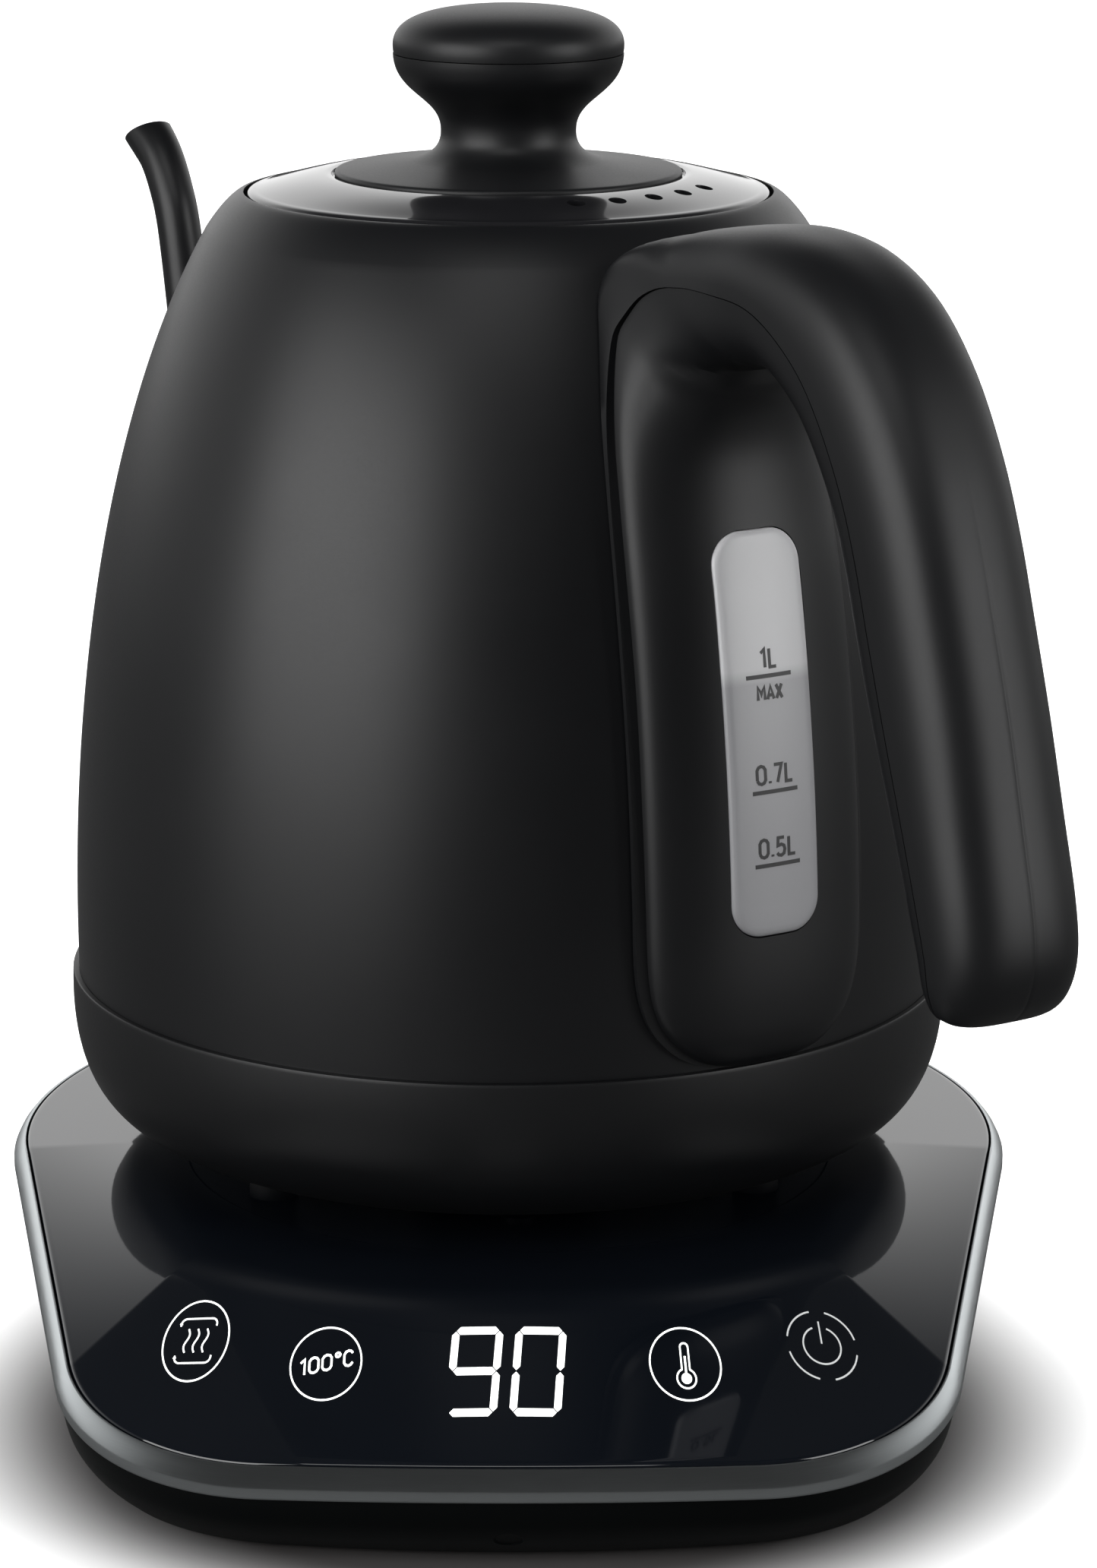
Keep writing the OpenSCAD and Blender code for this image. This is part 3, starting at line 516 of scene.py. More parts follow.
def back_gap(o, way, s):
    """How far back from the outer point the body's surface lies, s millimetres to the side."""
    low, high = GAP_RANGE
    for _ in range(GAP_HALVINGS):
        middle = (low + high) / 2
        r, z = o[0] - way[0] * middle, o[1] - way[1] * middle
        if math.hypot(r, s) - body_r(z) - BODY_GAP > 0:
            low = middle
        else:
            high = middle
    return (low + high) / 2


def handle_ring(u, row, is_shell):
    """One closed cross-section of the shell, which lies on the body, or of the liner in front of it."""
    o, d = (row[0], row[1]), (row[2] - row[0], row[3] - row[1])
    t = math.hypot(*d)
    way = (d[0] / t, d[1] / t)
    hug = clamp((FREE_ROW - u) / (FREE_ROW - HUG_ROW))
    if is_shell:
        w, far_a, seam_a = row[4], 0.0, row[6] - HANDLE_SEAM / 2 / t
        square = clamp((ROUND_ROW - u) / (ROUND_ROW - SQUARE_ROW))
        groove = MOULD_LINE_DEPTH * clamp((u - MOULD_LINE_ROW) / MOULD_LINE_FADE)
    else:
        w, far_a, seam_a, square, groove = row[5], 1.0, row[6] + HANDLE_SEAM / 2 / t, 0, 0
    n = ROUND_CROWN + SQUARE_GAIN * square

    def point(a, s):
        gap = hug * back_gap(o, way, s) if hug > 0 else 0
        return (o[0] + d[0] * a - way[0] * gap, s, o[1] + d[1] * a - way[1] * gap)

    ring = []
    for s in ACROSS_PLACES:
        bulge = (1 - min(abs(s), 1) ** n) ** (1 / n) - (groove / t if s == 0 else 0)
        ring.append(point(seam_a + (far_a - seam_a) * bulge, w * s))
    return ring + [point(seam_a, w * (2 * j / SEAM_STEPS - 1)) for j in range(1, SEAM_STEPS)]


def handle_half(is_shell):
    rows = smooth_rows(HANDLE_ROWS, ROWS_PER)
    return skin([handle_ring(k / ROWS_PER, row, is_shell) for k, row in enumerate(rows)])


build("handle_shell", handle_half(True), HANDLE, "kettle", sharp=50)
handle_liner = build("handle_liner", handle_half(False), HANDLE, "kettle", sharp=50)

# ---------- level window ----------

WINDOW_HALF_W, WINDOW_LOW, WINDOW_HIGH, WINDOW_ROUND, ROUND_STEPS = 8.4, 23.0, 88.0, 5.5, 14
WINDOW_RISE, WINDOW_BACK, WINDOW_CORE = 6.4, 0.4, -5
# The window bows a little further out towards its top
SWELL, SWELL_FROM, SWELL_OVER = 0.5, 50, 38
# Straight stretches of its outline longer than these are divided into so many parts
TALL_STRETCH, TALL_PARTS, WIDE_STRETCH, WIDE_PARTS = 40, 24, 2.5, 4
SLOT_FIT, SLOT_SPAN = 0.2, (50, 95)
PRINT = (-0.05, 0.05)
MARKS = {FULL_LINE_Z: "1L", 46.6: "0.7L", 34.7: "0.5L"}
MARK_HALF_W, MARK_PARTS, MARK_HALF_STROKE = 4.35, 8, 0.33
TEXT_HALF_STROKE, VOLUME_H, VOLUME_RISE, MAX_H, MAX_DROP = 0.27, 2.9, 1.35, 2.2, 3.75


def refine(points):
    """Adds points on long straight stretches, the same number for every ring of an outline."""
    made = []
    for i, p in enumerate(points):
        q = points[(i + 1) % len(points)]
        wide, tall = abs(p[0] - q[0]), abs(p[1] - q[1])
        parts = TALL_PARTS if tall > TALL_STRETCH else WIDE_PARTS if wide > WIDE_STRETCH else 1
        made.append(p)
        made += [mix(p, q, k / parts) for k in range(1, parts)]
    return made


def slot_outline(grow):
    """The window's outline, grown by that much, as (sideways, up) points."""
    r = WINDOW_ROUND + grow
    x, low, high = WINDOW_HALF_W + grow - r, WINDOW_LOW - grow + r, WINDOW_HIGH + grow - r
    rounds = [arc(centre, r, 90 * i, 90 * (i + 1), ROUND_STEPS)
              for i, centre in enumerate([(x, high), (-x, high), (-x, low), (x, low)])]
    return refine([p for part in rounds for p in part])


def on_body(s, z, rise):
    """A point that far above the body's surface, s to the side and z up."""
    swell = SWELL * clamp((z - SWELL_FROM) / SWELL_OVER) ** 2
    return (math.sqrt((body_r(z) + rise + swell) ** 2 - s * s), s, z)


def window_shape():
    """A plate on the body; each row of its edge is a growth of the outline and a rise."""
    edge = [(0, WINDOW_BACK), (0, WINDOW_RISE - 0.75), (-0.12, WINDOW_RISE - 0.4), (-0.4, WINDOW_RISE - 0.14),
            (-0.9, WINDOW_RISE - 0.02), (-1.6, WINDOW_RISE), (-3.2, WINDOW_RISE), (WINDOW_CORE, WINDOW_RISE)]
    rings = [[on_body(*p, rise) for p in slot_outline(grow)] for grow, rise in edge]
    flat = slot_outline(WINDOW_CORE)
    front = [[on_body(p[0] * t, p[1], WINDOW_RISE) for p in flat] for t in (0.5, 0.0)]
    back = [[on_body(p[0] * t, p[1], WINDOW_BACK) for p in flat] for t in (0.0, 1.0)]
    return skin(back + rings + front, caps=False)


def on_window(s0, z0):
    return lambda u, v, h: on_body(s0 + u, z0 + v, WINDOW_RISE + h)


# Strokes of each character, one unit tall
GLYPHS = {
    "0": [[(0.0, 0.22), (0.0, 0.78), (0.10, 0.94), (0.27, 1.0), (0.44, 0.94), (0.54, 0.78), (0.54, 0.22),
           (0.44, 0.06), (0.27, 0.0), (0.10, 0.06), (0.0, 0.22)]],
    "1": [[(0.08, 0.80), (0.32, 1.0), (0.32, 0.0)]],
    "5": [[(0.48, 1.0), (0.08, 1.0), (0.05, 0.56), (0.28, 0.62), (0.46, 0.54), (0.52, 0.34), (0.46, 0.10),
           (0.28, 0.0), (0.10, 0.04), (0.0, 0.16)]],
    "7": [[(0.0, 1.0), (0.50, 1.0), (0.20, 0.0)]],
    ".": [[(0.06, 0.0), (0.06, 0.12)]],
    "L": [[(0.04, 1.0), (0.04, 0.0), (0.46, 0.0)]],
    "M": [[(0.0, 0.0), (0.0, 1.0), (0.30, 0.40), (0.60, 1.0), (0.60, 0.0)]],
    "A": [[(0.0, 0.0), (0.27, 1.0), (0.54, 0.0)], [(0.09, 0.30), (0.45, 0.30)]],
    "X": [[(0.0, 0.0), (0.50, 1.0)], [(0.0, 1.0), (0.50, 0.0)]],
    "C": [[(0.50, 0.80), (0.40, 0.95), (0.26, 1.0), (0.10, 0.94), (0.0, 0.76), (0.0, 0.24), (0.10, 0.06),
           (0.26, 0.0), (0.40, 0.05), (0.50, 0.20)]],
    "o": [[(0.0, 0.86), (0.05, 0.96), (0.14, 1.0), (0.23, 0.96), (0.28, 0.86), (0.23, 0.76), (0.14, 0.72),
           (0.05, 0.76), (0.0, 0.86)]],
}
GLYPH_WIDTH = {"0": 0.54, "1": 0.36, "5": 0.52, "7": 0.50, ".": 0.12, "L": 0.46, "M": 0.60, "A": 0.54,
               "X": 0.50, "C": 0.50, "o": 0.28}
GLYPH_SPACE = 0.24


def text_strips(text, height, place, half_stroke, low, high, lean=0.0, squeeze=1.0):
    """Strokes of a line of text, centred on place's origin with its baseline at v = 0."""
    total = sum(GLYPH_WIDTH[c] for c in text) + GLYPH_SPACE * (len(text) - 1)
    pen, strips = -total / 2, []
    for c in text:
        for stroke in GLYPHS[c]:
            points = [((pen + x) * height * squeeze, y * height) for x, y in stroke]
            points = [(x, y + x * math.tan(math.radians(lean))) for x, y in points]
            strips.append(ribbon(points, half_stroke, place, low, high))
        pen += GLYPH_WIDTH[c] + GLYPH_SPACE
    return strips


def level_shapes():
    """The volume marks, their numbers and the word under the full line."""
    strips = []
    for z, text in MARKS.items():
        line = [(MARK_HALF_W * 2 * k / MARK_PARTS - MARK_HALF_W, 0) for k in range(MARK_PARTS + 1)]
        strips.append(ribbon(line, MARK_HALF_STROKE, on_window(0, z), *PRINT))
        strips += text_strips(text, VOLUME_H, on_window(0, z + VOLUME_RISE), TEXT_HALF_STROKE, *PRINT)
    strips += text_strips("MAX", MAX_H, on_window(0, FULL_LINE_Z - MAX_DROP), TEXT_HALF_STROKE, *PRINT)
    return merge(strips)


def window_slot():
    """The window's outline, a little grown, pushed through the handle's panel."""
    outline = slot_outline(SLOT_FIT)
    return skin([[tuple(HANDLE @ Vector((x, s, z))) for s, z in outline] for x in SLOT_SPAN])


cut(handle_liner, window_slot())
build("level_window", window_shape(), HANDLE, "kettle", sharp=60)
build("level_marks", level_shapes(), HANDLE, "kettle")

# ---------- spout ----------

SPOUT_ROOT_X, SPOUT_ROOT_Z, SPOUT_WALL, SPOUT_TRIM = 75, 24.0, 0.8, 0.01
SPOUT_ROWS_PER, SPOUT_SIDES = 8, 48
# Each row: distance from the axis, height, outer radius
SPOUT_ROWS = [
    (74.4, 24, 8.2), (80, 24.6, 8.1), (87, 28, 7.8), (93.5, 34.5, 7.2), (98.5, 44, 6.4), (102.5, 57, 5.6),
    (106, 72, 4.9), (109.5, 88, 4.4), (112.6, 102, 4.1), (115.6, 115, 4.05), (118.3, 121.5, 4.05),
    (122, 127, 4.15), (127, 131, 4.5),
]
TIP_DIR, TIP_ROWS = (0.55, 0.83), 5
FLANGE_R, FLANGE_HOLE_R, FLANGE_BACK = 11.2, 8.55, -0.3


def spout_ring(rows, k, inset):
    """A ring square to the spout's line, which turns to TIP_DIR over its last rows."""
    last = len(rows) - 1
    x, z, r = rows[k]
    before, after = rows[max(k - 1, 0)], rows[min(k + 1, last)]
    along = (after[0] - before[0], after[1] - before[1])
    size = math.hypot(*along)
    near_tip = clamp((k - last + TIP_ROWS) / TIP_ROWS)
    bent = mix((along[0] / size, along[1] / size), TIP_DIR, near_tip)
    turn = [2 * math.pi * j / SPOUT_SIDES for j in range(SPOUT_SIDES)]
    return [(x + (r - inset) * math.cos(q) * bent[1], (r - inset) * math.sin(q),
             z - (r - inset) * math.cos(q) * bent[0]) for q in turn]


def spout_shape():
    rows = smooth_rows(SPOUT_ROWS, SPOUT_ROWS_PER)
    count = range(len(rows))
    outside = [spout_ring(rows, k, SPOUT_TRIM) for k in count]
    inside = [spout_ring(rows, k, SPOUT_WALL) for k in reversed(count)]
    return skin(outside + inside, closed=True)


def flange_shape():
    """A ring round the spout's root that flares on to the body."""
    flare = bez_points([(8.6, 5.6), (8.75, 3.4), (9.4, 2.3), (FLANGE_R, 1.9)], 12)
    verts, faces = revolve(flare + [(FLANGE_R, FLANGE_BACK), (FLANGE_HOLE_R, FLANGE_BACK)], 96)
    return [(SPOUT_ROOT_X + z, x, SPOUT_ROOT_Z + y) for x, y, z in verts], faces


build("spout_tube", spout_shape(), SPOUT, "kettle", sharp=50)
build("spout_flange", flange_shape(), SPOUT, "kettle")

# ---------- lid ----------

LID_T = 3
RING_HOLE_R, RING_STEP = 26, 2
STEM_R, STEM_H = 25.6, 2.2
NECK_FOOT, DISH_END = (11.4, 144.5), (16.5, 139.3)
CAP_GAP, CAP_H, SPIGOT_R, SPIGOT_H = 0.15, 7.79, 6.8, 3.6
VENTS, VENT_DIR, VENT_STEP, VENT_AT, VENT_R = 5, -80.5, 12.0, 35.5, 1.5
VENT_SPAN = (-1.4, 6)


def ring_profile():
    """Underside, edge, domed top and the step that the disc stands on."""
    outer = MOUTH_R - LID_FIT
    edge = [(outer, LID_TOP - 1.2), (outer, LID_TOP - 0.2), (outer - 0.8, LID_TOP),
            (outer - 1.6, LID_TOP + 0.1)]
    dome = [edge[3], (40, LID_TOP + 0.7), (35, LID_TOP + 2.3), (30.6, LID_TOP + 2.6)]
    step = [(29.9, LID_TOP + 2.5), (29.8, LID_TOP + RING_STEP), (RING_HOLE_R, LID_TOP + RING_STEP)]
    under = [(RING_HOLE_R, LID_TOP - LID_T), (outer, LID_TOP - LID_T)]
    return under + bez_points(edge, 10) + bez_points(dome, 24, 1) + step


def disc_profile():
    """Stem, rim, dished top, and the knob's foot and neck up to the seam under its cap."""
    rim_end = (DISC_R - 0.8, DISC_Z + 0.03)
    rim = bez_points([(DISC_R, DISC_Z - 0.7), (DISC_R, DISC_Z - 0.2), (DISC_R - 0.3, DISC_Z), rim_end], 6)
    dish = bez_points([rim_end, (26, DISC_Z + 0.3), (21, 138.5), DISH_END], 12, 1)[:-1]
    foot = bez_points([DISH_END, (12.5, 140.2), (11.3, 142), NECK_FOOT], 24)
    neck = bez_points([NECK_FOOT, (11.5, 150), (19.2, 150.5), (19.4, KNOB_SEAM_Z)], 32, 1)
    stem = [(0, LID_TOP - LID_T), (STEM_R, LID_TOP - LID_T), (STEM_R, LID_TOP + STEM_H),
            (DISC_R, LID_TOP + STEM_H)]
    return stem + rim + dish + foot + neck + [(0, KNOB_SEAM_Z)]


def cap_profile():
    """The knob's cap, with a spigot that stands in its neck."""
    z = KNOB_SEAM_Z + CAP_GAP
    dome = bez_points([(KNOB_R - 0.3, z), (KNOB_R + 0.6, z + 4.6), (KNOB_R - 3, z + CAP_H), (0, z + CAP_H)], 48)
    return [(0, z - SPIGOT_H), (SPIGOT_R, z - SPIGOT_H), (SPIGOT_R, z)] + dome


def vent_cutters():
    """Bars through the lid ring, in a row round its front right."""
    shapes = []
    low, high = (LID_TOP + rise for rise in VENT_SPAN)
    for i in range(VENTS):
        a = math.radians(VENT_DIR + (i - (VENTS - 1) / 2) * VENT_STEP)
        verts, faces = bar(VENT_R, low, high, 40)
        verts = [(x + VENT_AT * math.cos(a), y + VENT_AT * math.sin(a), z) for x, y, z in verts]
        shapes.append(moved((verts, faces), KETTLE))
    return merge(shapes)


lid_ring = build("lid_ring", revolve(ring_profile()), KETTLE, "lid")
cut(lid_ring, vent_cutters())
build("lid_disc", revolve(disc_profile()), KETTLE, "lid")
build("knob_cap", revolve(cap_profile()), KETTLE, "lid")

# ---------- base ----------

CORNER_X = BASE_HALF_W - CORNER_R
BOW_Y = BOW_R - BASE_FRONT
CORNER_Y = BOW_Y - math.sqrt((BOW_R - CORNER_R) ** 2 - CORNER_X**2)
SIDE_A = math.degrees(math.atan2(CORNER_Y, CORNER_X)
                      + math.acos((BASE_R - CORNER_R) / math.hypot(CORNER_X, CORNER_Y)))
BOW_A = math.degrees(math.atan2(CORNER_Y - BOW_Y, CORNER_X))
BACK_STEPS, CORNER_STEPS, BOW_STEPS = 140, 44, 40
SLOPE_FULL = BASE_FRONT - FLAT_R - FOLD_SOFT / 2
GLASS_INSET, GLASS_HOLE_R = -3.0, BOSS_R + 1
HOUSING_WALL, HOUSING_BOTTOM, HOUSING_DROP = 2.2, 1.0, 4.75


def base_plan(grow):
    """Outline of the base, grown by that much: round the kettle, two corners and a bowed front."""
    return (arc((0, 0), BASE_R + grow, SIDE_A, 180 - SIDE_A, BACK_STEPS)
            + arc((-CORNER_X, CORNER_Y), CORNER_R + grow, 180 - SIDE_A, 180 - BOW_A, CORNER_STEPS)[1:]
            + arc((0, BOW_Y), BOW_R + grow, 180 - BOW_A, 360 + BOW_A, BOW_STEPS)[1:]
            + arc((CORNER_X, CORNER_Y), CORNER_R + grow, 360 + BOW_A, 360 + SIDE_A, CORNER_STEPS)[1:-1])


def top_at(r):
    """Height of the glass at radius r: flat round the kettle, a soft fold, then a cone."""
    run = max(r - FLAT_R, 0)
    fallen = run * run / (2 * FOLD_SOFT) if run < FOLD_SOFT else run - FOLD_SOFT / 2
    return GLASS_Z - (GLASS_Z - GLASS_FRONT_Z) * fallen / SLOPE_FULL


def plan_ring(grow, drop):
    return [(x, y, top_at(math.hypot(x, y)) - drop) for x, y in base_plan(grow)]


def glass_ring(t, drop):
    """A ring of the glass, t of the way from the connector's hole to its edge."""
    made = []
    for x, y in base_plan(GLASS_INSET):
        size = math.hypot(x, y)
        r = GLASS_HOLE_R + (size - GLASS_HOLE_R) * t
        made.append((x / size * r, y / size * r, top_at(r) - drop))
    return made


def glass_shape():
    """Rings over the top, with most of them where the glass folds and slopes, then the edge and the back."""
    fine_from, fine = 0.62, 44
    spread = [0, 0.02] + [0.15 * k for k in range(1, 5)]
    spread += [fine_from + (1 - fine_from) * k / fine for k in range(fine + 1)]
    top = [glass_ring(t, 0) for t in spread]
    edge = [plan_ring(-2.7, 0.05), plan_ring(-2.5, 0.2), plan_ring(-2.4, 0.5), plan_ring(-2.4, GLASS_T)]
    bottom = [glass_ring(t, GLASS_T) for t in (0.9, 0.7, 0)]
    return skin(top + edge + bottom, closed=True)


def rim_shape():
    """The rim's section, as plan offsets and drops below the glass."""
    section = [(-2.1, 0.25), (-2.1, 4.6), (-0.75, 4.6), (-0.2, 4.45), (-0.01, 4.1), (-0.01, 2.75),
               (-0.1, 2.45), (-0.7, 1.25), (-1.5, 0.3), (-1.75, 0.12), (-1.95, 0.12)]
    return skin([plan_ring(*q) for q in section], closed=True)


def housing_ring(grow, share):
    """A ring of the housing, that share of the way from under the rim down to the table."""
    made = []
    for x, y in base_plan(grow):
        top = top_at(math.hypot(x, y)) - HOUSING_DROP
        made.append((x, y, top + (HOUSING_BOTTOM - top) * share))
    return made


def housing_shape():
    """Outside from under the rim to the table, and back up inside; each row is a plan offset and a share."""
    skirt = [(-0.9, 0), (-1.2, 0.2), (-2.2, 0.45), (-4.2, 0.68), (-6.6, 0.86), (-9, 1)]
    rows = smooth_rows(skirt, 4)
    outside = [housing_ring(grow, share) for grow, share in rows]
    inside = [housing_ring(grow - HOUSING_WALL, share) for grow, share in reversed(rows)]
    return skin(outside + inside, closed=True)


DIMPLE_AT, DIMPLE_TILT, DIMPLE_R, DIMPLE_DEPTH = (0, -126.8, 4.6), 135, 2.4, 0.6
DIMPLE_BEVEL, DIMPLE_TOP = 0.3, 3.4
GLAND_Z, GLAND_HOLE_R, GLAND_SPAN = 10.0, 6.1, (70, 100)


def dimple_cutter():
    """A round bar that bites a little way into the front of the housing."""
    profile = [(0, -DIMPLE_DEPTH), (DIMPLE_R - DIMPLE_BEVEL, -DIMPLE_DEPTH),
               (DIMPLE_R, DIMPLE_BEVEL - DIMPLE_DEPTH), (DIMPLE_R, DIMPLE_TOP), (0, DIMPLE_TOP)]
    place = Matrix.Translation(DIMPLE_AT) @ Matrix.Rotation(math.radians(DIMPLE_TILT), 4, "X")
    return moved(revolve(profile, 48), place)


def gland_cutter():
    """A round bar through the back of the housing, where the cord's gland sits."""
    verts, faces = bar(GLAND_HOLE_R, *GLAND_SPAN)
    return [(x, z, GLAND_Z - y) for x, y, z in verts], faces


build("base_glass", glass_shape(), BASE, "base", sharp=60)
base_rim = build("base_rim", rim_shape(), BASE, "base", sharp=24)
# The housing takes the darker black, which is painted shade low under the rim
base_housing = build("base_housing", housing_shape(), BASE, "base", sharp=50,
                     materials=[MATERIALS["housing_black_painted_shade"]])
cut(base_housing, merge([dimple_cutter(), gland_cutter()]))

# ---------- lit symbols ----------

# Up the slope a symbol is drawn this much taller, so that it reads round from in front
ICON_STRETCH = 1.55
INK = (-0.05, 0.04)
THIN = 0.125
RING_R, OVAL_R, OVAL_TALL, GAPPED_R = 5.6, 5.25, 1.24, 5.55
ICON_AT = {"warm": (-49.7, -93.8), "boil": (-28.7, -103.2), "nine": (-5.33, -106.75),
           "zero": (4.66, -106.75), "temperature": (27.8, -103.4), "power": (49.8, -95.0)}


def on_glass(name, lean=0.0):
    """Places symbol points, turned by lean degrees to the left, on the sloping glass."""
    cx, cy = ICON_AT[name]
    c, s = math.cos(math.radians(lean)), math.sin(math.radians(lean))

    def place(u, v, h):
        x, y = cx + u * c - v * s, cy + ICON_STRETCH * (u * s + v * c)
        return (x, y, top_at(math.hypot(x, y)) + h)

    return place


def round_strip(place, r, start, end, half_w=THIN, tall=1.0, centre=(0, 0), steps=56):
    points = [(x, y * tall) for x, y in arc((0, 0), r, start, end, steps)]
    points = [(x + centre[0], y + centre[1]) for x, y in points]
    whole = abs(end - start) >= 360
    return ribbon(points[:-1] if whole else points, half_w, place, *INK, closed=whole)


def warm_icon():
    """Three wavy lines between two brackets, in an oval."""
    place = on_glass("warm", -7)
    strips = [round_strip(place, OVAL_R, 0, 360, tall=OVAL_TALL)]
    half, corner, end, top = 2.9, 0.9, 2.4, 3.6
    for side in (1, -1):
        bracket = [(-half, end), (-half, top - corner)]
        bracket += arc((-half + corner, top - corner), corner, 180, 90, 6)
        bracket += arc((half - corner, top - corner), corner, 90, 0, 6) + [(half, end)]
        strips.append(ribbon([(u, v * side) for u, v in bracket], THIN, place, *INK))
    sway, wave_half, steps = 0.32, 1.9, 16
    for u in (-1.5, 0, 1.5):
        wave = [(u + sway * math.sin(2 * math.pi * k / steps), wave_half - 2 * wave_half * k / steps)
                for k in range(steps + 1)]
        strips.append(ribbon(wave, THIN, place, *INK))
    return merge(strips)


BOIL_TEXT_H, BOIL_TEXT_DROP, BOIL_HALF_STROKE = 2.35, 1.05, 0.165


def boil_icon():
    """The boiling temperature in a ring."""
    place = on_glass("boil")

    def lowered(u, v, h):
        return place(u, v - BOIL_TEXT_DROP, h)

    text = text_strips("100oC", BOIL_TEXT_H, lowered, BOIL_HALF_STROKE, *INK, lean=7, squeeze=1.12)
    return merge([round_strip(place, RING_R, 0, 360)] + text)


SEGMENT, DIGIT_W, DIGIT_H, DIGIT_LEAN, SEGMENT_GAP = 0.58, 3.45, 6.2, 0.085, 0.09
TIP_GAP = SEGMENT_GAP * 1.4
SEGMENTS = {"top": ((-1, 1), (1, 1)), "upper_right": ((1, 1), (1, 0)), "lower_right": ((1, 0), (1, -1)),
            "bottom": ((-1, -1), (1, -1)), "lower_left": ((-1, -1), (-1, 0)),
            "upper_left": ((-1, 0), (-1, 1)), "middle": ((-1, 0), (1, 0))}


def digit(name, left_out):
    """A seven-segment digit with one segment dark."""
    place = on_glass(name)
    strips = []
    for segment, ends in SEGMENTS.items():
        if segment == left_out:
            continue
        a, b = [Vector((u * DIGIT_W, v * DIGIT_H)) for u, v in ends]
        way = (b - a).normalized()
        side = Vector((-way.y, way.x)) * SEGMENT
        shoulder = way * (TIP_GAP + SEGMENT)
        tips = [a + way * TIP_GAP, a + shoulder + side, b - shoulder + side,
                b - way * TIP_GAP, b - shoulder - side, a + shoulder - side]
        strips.append(skin([[place(p.x + DIGIT_LEAN * p.y, p.y, h) for p in tips] for h in INK]))
    return merge(strips)


TUBE_R, TUBE_TOP, BULB_R, BULB_Z = 0.62, 2.6, 1.5, -2.25


def thermometer_icon():
    """A thermometer with a filled bulb and a short column, in a ring."""
    place = on_glass("temperature", 3)
    outline = arc((0, TUBE_TOP), TUBE_R, 180, 0, 12) + arc((0, BULB_Z), BULB_R, 65, -245, 40)
    return merge([round_strip(place, RING_R, 0, 360), ribbon(outline, THIN, place, *INK, closed=True),
                  round_strip(place, 0.42, 0, 360, half_w=0.4, centre=(0, BULB_Z), steps=24),
                  ribbon([(0, -2.2), (0, 1.2)], 0.16, place, *INK)])


def power_icon():
    """An open ring with a bar at its gap, in four arcs."""
    place = on_glass("power", 5)
    arcs = [round_strip(place, GAPPED_R, start + 13, start + 77, steps=20) for start in (0, 90, 180, 270)]
    inner = round_strip(place, 3.0, 112, 428, steps=44)
    return merge(arcs + [inner, ribbon([(0, 0.3), (0, 3.9)], THIN, place, *INK)])


ICONS = {
    "icon_keep_warm": (warm_icon(), "icon_glow"),
    "icon_boil": (boil_icon(), "icon_glow"),
    "digit_tens": (digit("nine", "lower_left"), "icon_glow"),
    "digit_units": (digit("zero", "middle"), "icon_glow"),
    "icon_temperature": (thermometer_icon(), "icon_glow"),
    "icon_power": (power_icon(), "icon_dim"),
}
for label, (shape, look) in ICONS.items():
    build(label, shape, BASE, "base", nodes=["control_icons"], materials=[MATERIALS[look]])

# ---------- floor, light and camera ----------

WHITE = (1.0, 1.0, 1.0, 1)
FLOOR_EDGES = [-30.0, -2, 2, 30.0]
FLOOR_BOUNCE, FLOOR_GLOW = 0.12, 0.75
# Painted shadow: close round the base the floor's colour is darkened and its glow faded out, a soft shadow
# painted into it
FLOOR_SHADE, FLOOR_PALE = (0.07, 0.066, 0.066), (0.94, 0.94, 0.94)
SHADE_CENTRE, SHADE_SPAN = (0, -0.06, 0), (0.068, 0.117)
SKY_FRONT, SKY_BACK = 0.05, 1.35
# How far back (y) and how high (z) a direction points where the sky starts and ends its fade
SKY_DEPTH_SPAN, SKY_HEIGHT_SPAN = (-0.5, 0.9), (0.72, 0.36)
# Name, place, the point it faces, size in metres, watts, and whether reflections show it
SOFTBOXES = [
    ("key_left", (-1.35, -1.12, 0.5), (0, 0, 0.1), (1.7, 1.35), 40, True),
    ("front_top", (-0.1, -1.5, 1.9), (0, 0, 0.15), (1.3, 0.7), 9, True),
    ("fill_right", (1.49, -0.82, 0.5), (0, 0, 0.12), (0.9, 1.2), 17, True),
    ("overhead", (0, 0.3, 2.2), (0, 0.1, 0), (2.6, 2.6), 42, False),
]
CAMERA_AT = (0.0, -0.854, 0.30825)
CAMERA_DOWN = 14.16
LENS, SENSOR, SHIFT_X = 116.44, 36.0, 0.02553


def split_by_ray(tree, others, camera, output):
    """Shows one shader to the camera and another to every other ray."""
    seen = tree.nodes.new("ShaderNodeLightPath")
    both = tree.nodes.new("ShaderNodeMixShader")
    link(tree, seen.outputs["Is Camera Ray"], both.inputs[0])
    link(tree, others, both.inputs[1])
    link(tree, camera, both.inputs[2])
    link(tree, both.outputs[0], tree.nodes[output].inputs["Surface"])


def floor_material():
    """White where the camera sees it, but for a painted soft shadow that darkens it round the base, and darker
    in what it throws back on to the kettle.
    """
    material = make_material("floor", FLOOR_PALE, 0.7, vary=0.01, grain=40.0, bump=0.0, Specular_IOR_Level=0.1)
    tree = material.node_tree
    shader = tree.nodes["Principled BSDF"]
    distance = tree.nodes.new("ShaderNodeVectorMath")
    distance.operation = "DISTANCE"
    link(tree, tree.nodes["Texture Coordinate"].outputs["Object"], distance.inputs[0])
    distance.inputs[1].default_value = SHADE_CENTRE
    # Painted shadow: dark and unlit near the base, pale and glowing further out
    far = map_range(tree, distance.outputs["Value"], SHADE_SPAN, smooth=True)
    link(tree, math_node(tree, "MULTIPLY", far, FLOOR_GLOW), shader.inputs["Emission Strength"])
    link(tree, colour_mix(tree, far, FLOOR_SHADE, FLOOR_PALE), shader.inputs["Base Color"])
    shader.inputs["Emission Color"].default_value = WHITE
    bounce = tree.nodes.new("ShaderNodeBsdfDiffuse")
    bounce.inputs["Color"].default_value = (FLOOR_BOUNCE,) * 3 + (1,)
    split_by_ray(tree, bounce.outputs[0], shader.outputs[0], "Material Output")
    return material


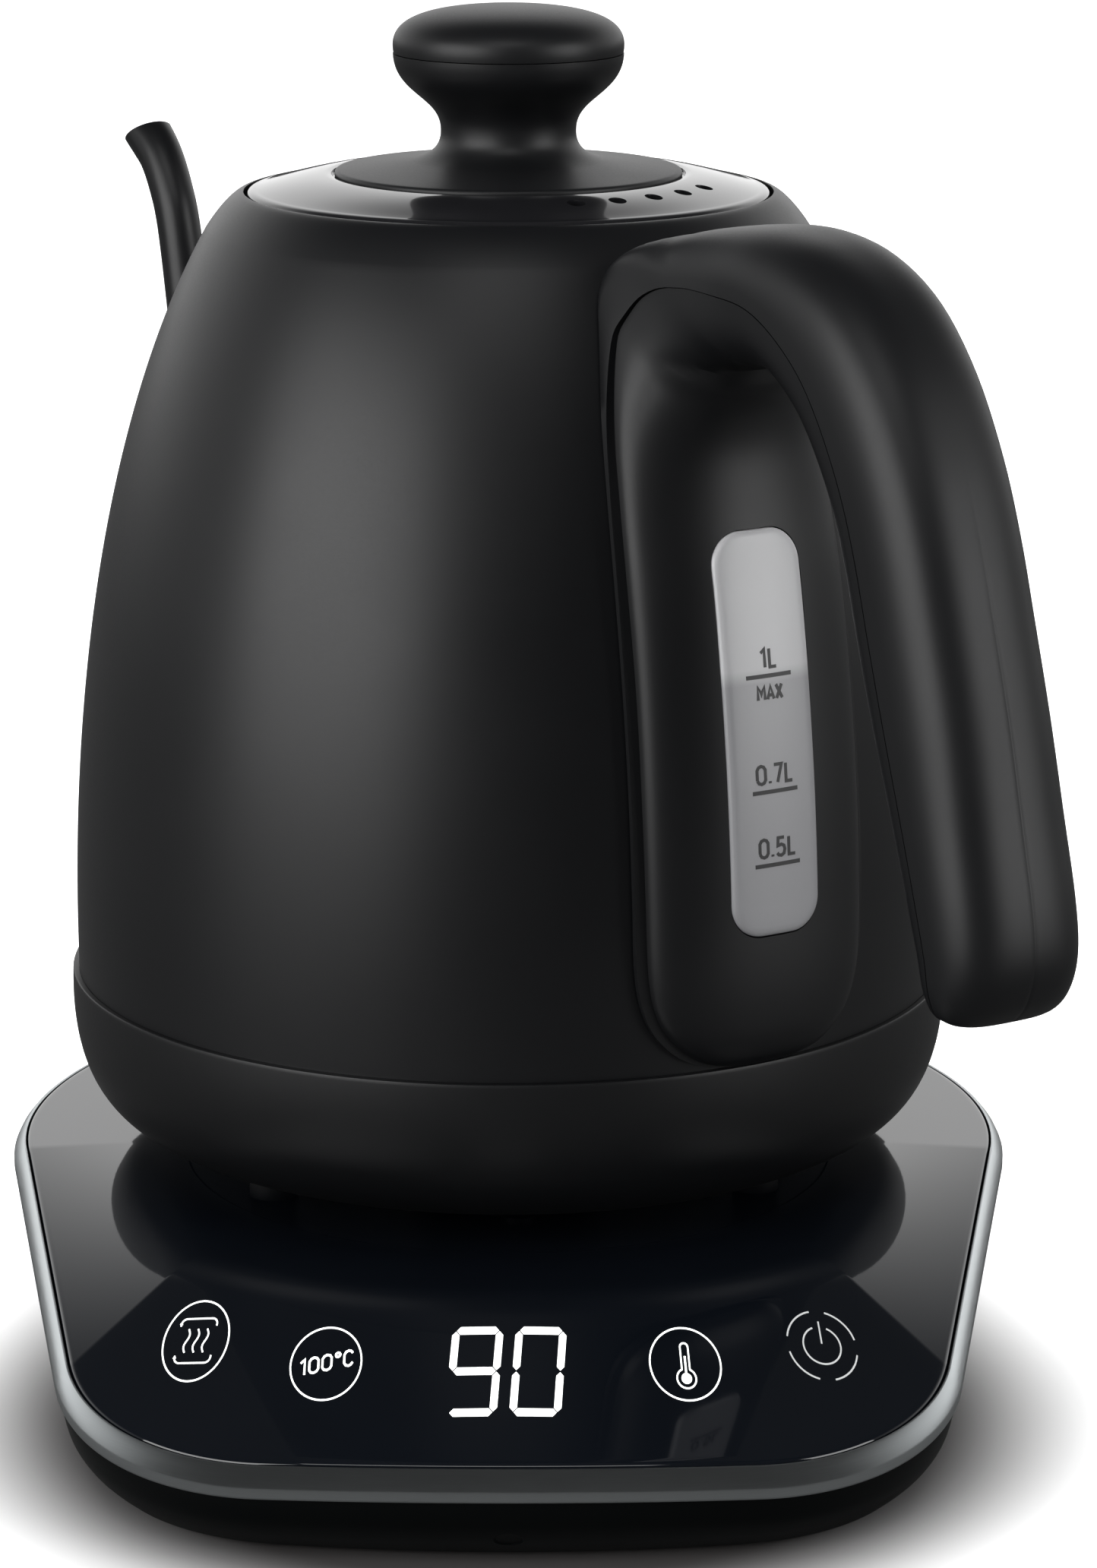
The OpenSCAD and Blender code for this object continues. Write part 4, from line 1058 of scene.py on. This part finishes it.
def stage_floor():
    """A wide floor of nine panels, the middle one four metres across."""
    corners = [(x, y, 0) for y in FLOOR_EDGES for x in FLOOR_EDGES]
    n = len(FLOOR_EDGES)
    panels = [(n * j + i, n * j + i + 1, n * j + n + i + 1, n * j + n + i)
              for j in range(n - 1) for i in range(n - 1)]
    mesh = bpy.data.meshes.new("floor")
    mesh.from_pydata(corners, [], panels)
    mesh.materials.append(floor_material())
    floor = bpy.data.objects.new("floor", mesh)
    bpy.context.scene.collection.objects.link(floor)


def studio_world():
    """Plain white to the camera; as light and in reflections it fades out to the front and overhead."""
    world = bpy.data.worlds.new("studio")
    world.use_nodes = True
    tree = world.node_tree
    sky = tree.nodes["Background"]
    sky.inputs["Color"].default_value = WHITE
    split = tree.nodes.new("ShaderNodeSeparateXYZ")
    link(tree, tree.nodes.new("ShaderNodeTexCoord").outputs["Generated"], split.inputs["Vector"])
    behind = map_range(tree, split.outputs["Y"], SKY_DEPTH_SPAN, (0.0, SKY_BACK), smooth=True)
    low = map_range(tree, split.outputs["Z"], SKY_HEIGHT_SPAN, smooth=True)
    link(tree, math_node(tree, "MULTIPLY_ADD", behind, low, SKY_FRONT), sky.inputs["Strength"])
    plain = tree.nodes.new("ShaderNodeBackground")
    plain.inputs["Color"].default_value = WHITE
    split_by_ray(tree, sky.outputs[0], plain.outputs[0], "World Output")
    bpy.context.scene.world = world
    bpy.context.scene.view_settings.view_transform = "Standard"


def studio_lights():
    """Soft rectangular lights, none of which lights the rim, whose front would clip to white."""
    off_rim = bpy.data.collections.new("off_rim")
    off_rim.objects.link(base_rim)
    off_rim.collection_objects[0].light_linking.link_state = "EXCLUDE"
    for name, place, aim, size, watts, mirrored in SOFTBOXES:
        data = bpy.data.lights.new(name, "AREA")
        data.shape, data.size, data.size_y, data.energy = "RECTANGLE", *size, watts
        lamp = bpy.data.objects.new(name, data)
        bpy.context.scene.collection.objects.link(lamp)
        lamp.location = place
        lamp.visible_glossy = mirrored
        lamp.light_linking.receiver_collection = off_rim
        lamp.rotation_euler = (Vector(aim) - Vector(place)).to_track_quat("-Z", "Y").to_euler()


def camera():
    data = bpy.data.cameras.new("camera")
    data.lens, data.sensor_width, data.shift_x = LENS, SENSOR, SHIFT_X
    view = bpy.data.objects.new("camera", data)
    bpy.context.scene.collection.objects.link(view)
    view.location = CAMERA_AT
    view.rotation_euler = (math.radians(90 - CAMERA_DOWN), 0, 0)
    bpy.context.scene.camera = view


stage_floor()
studio_world()
studio_lights()
camera()
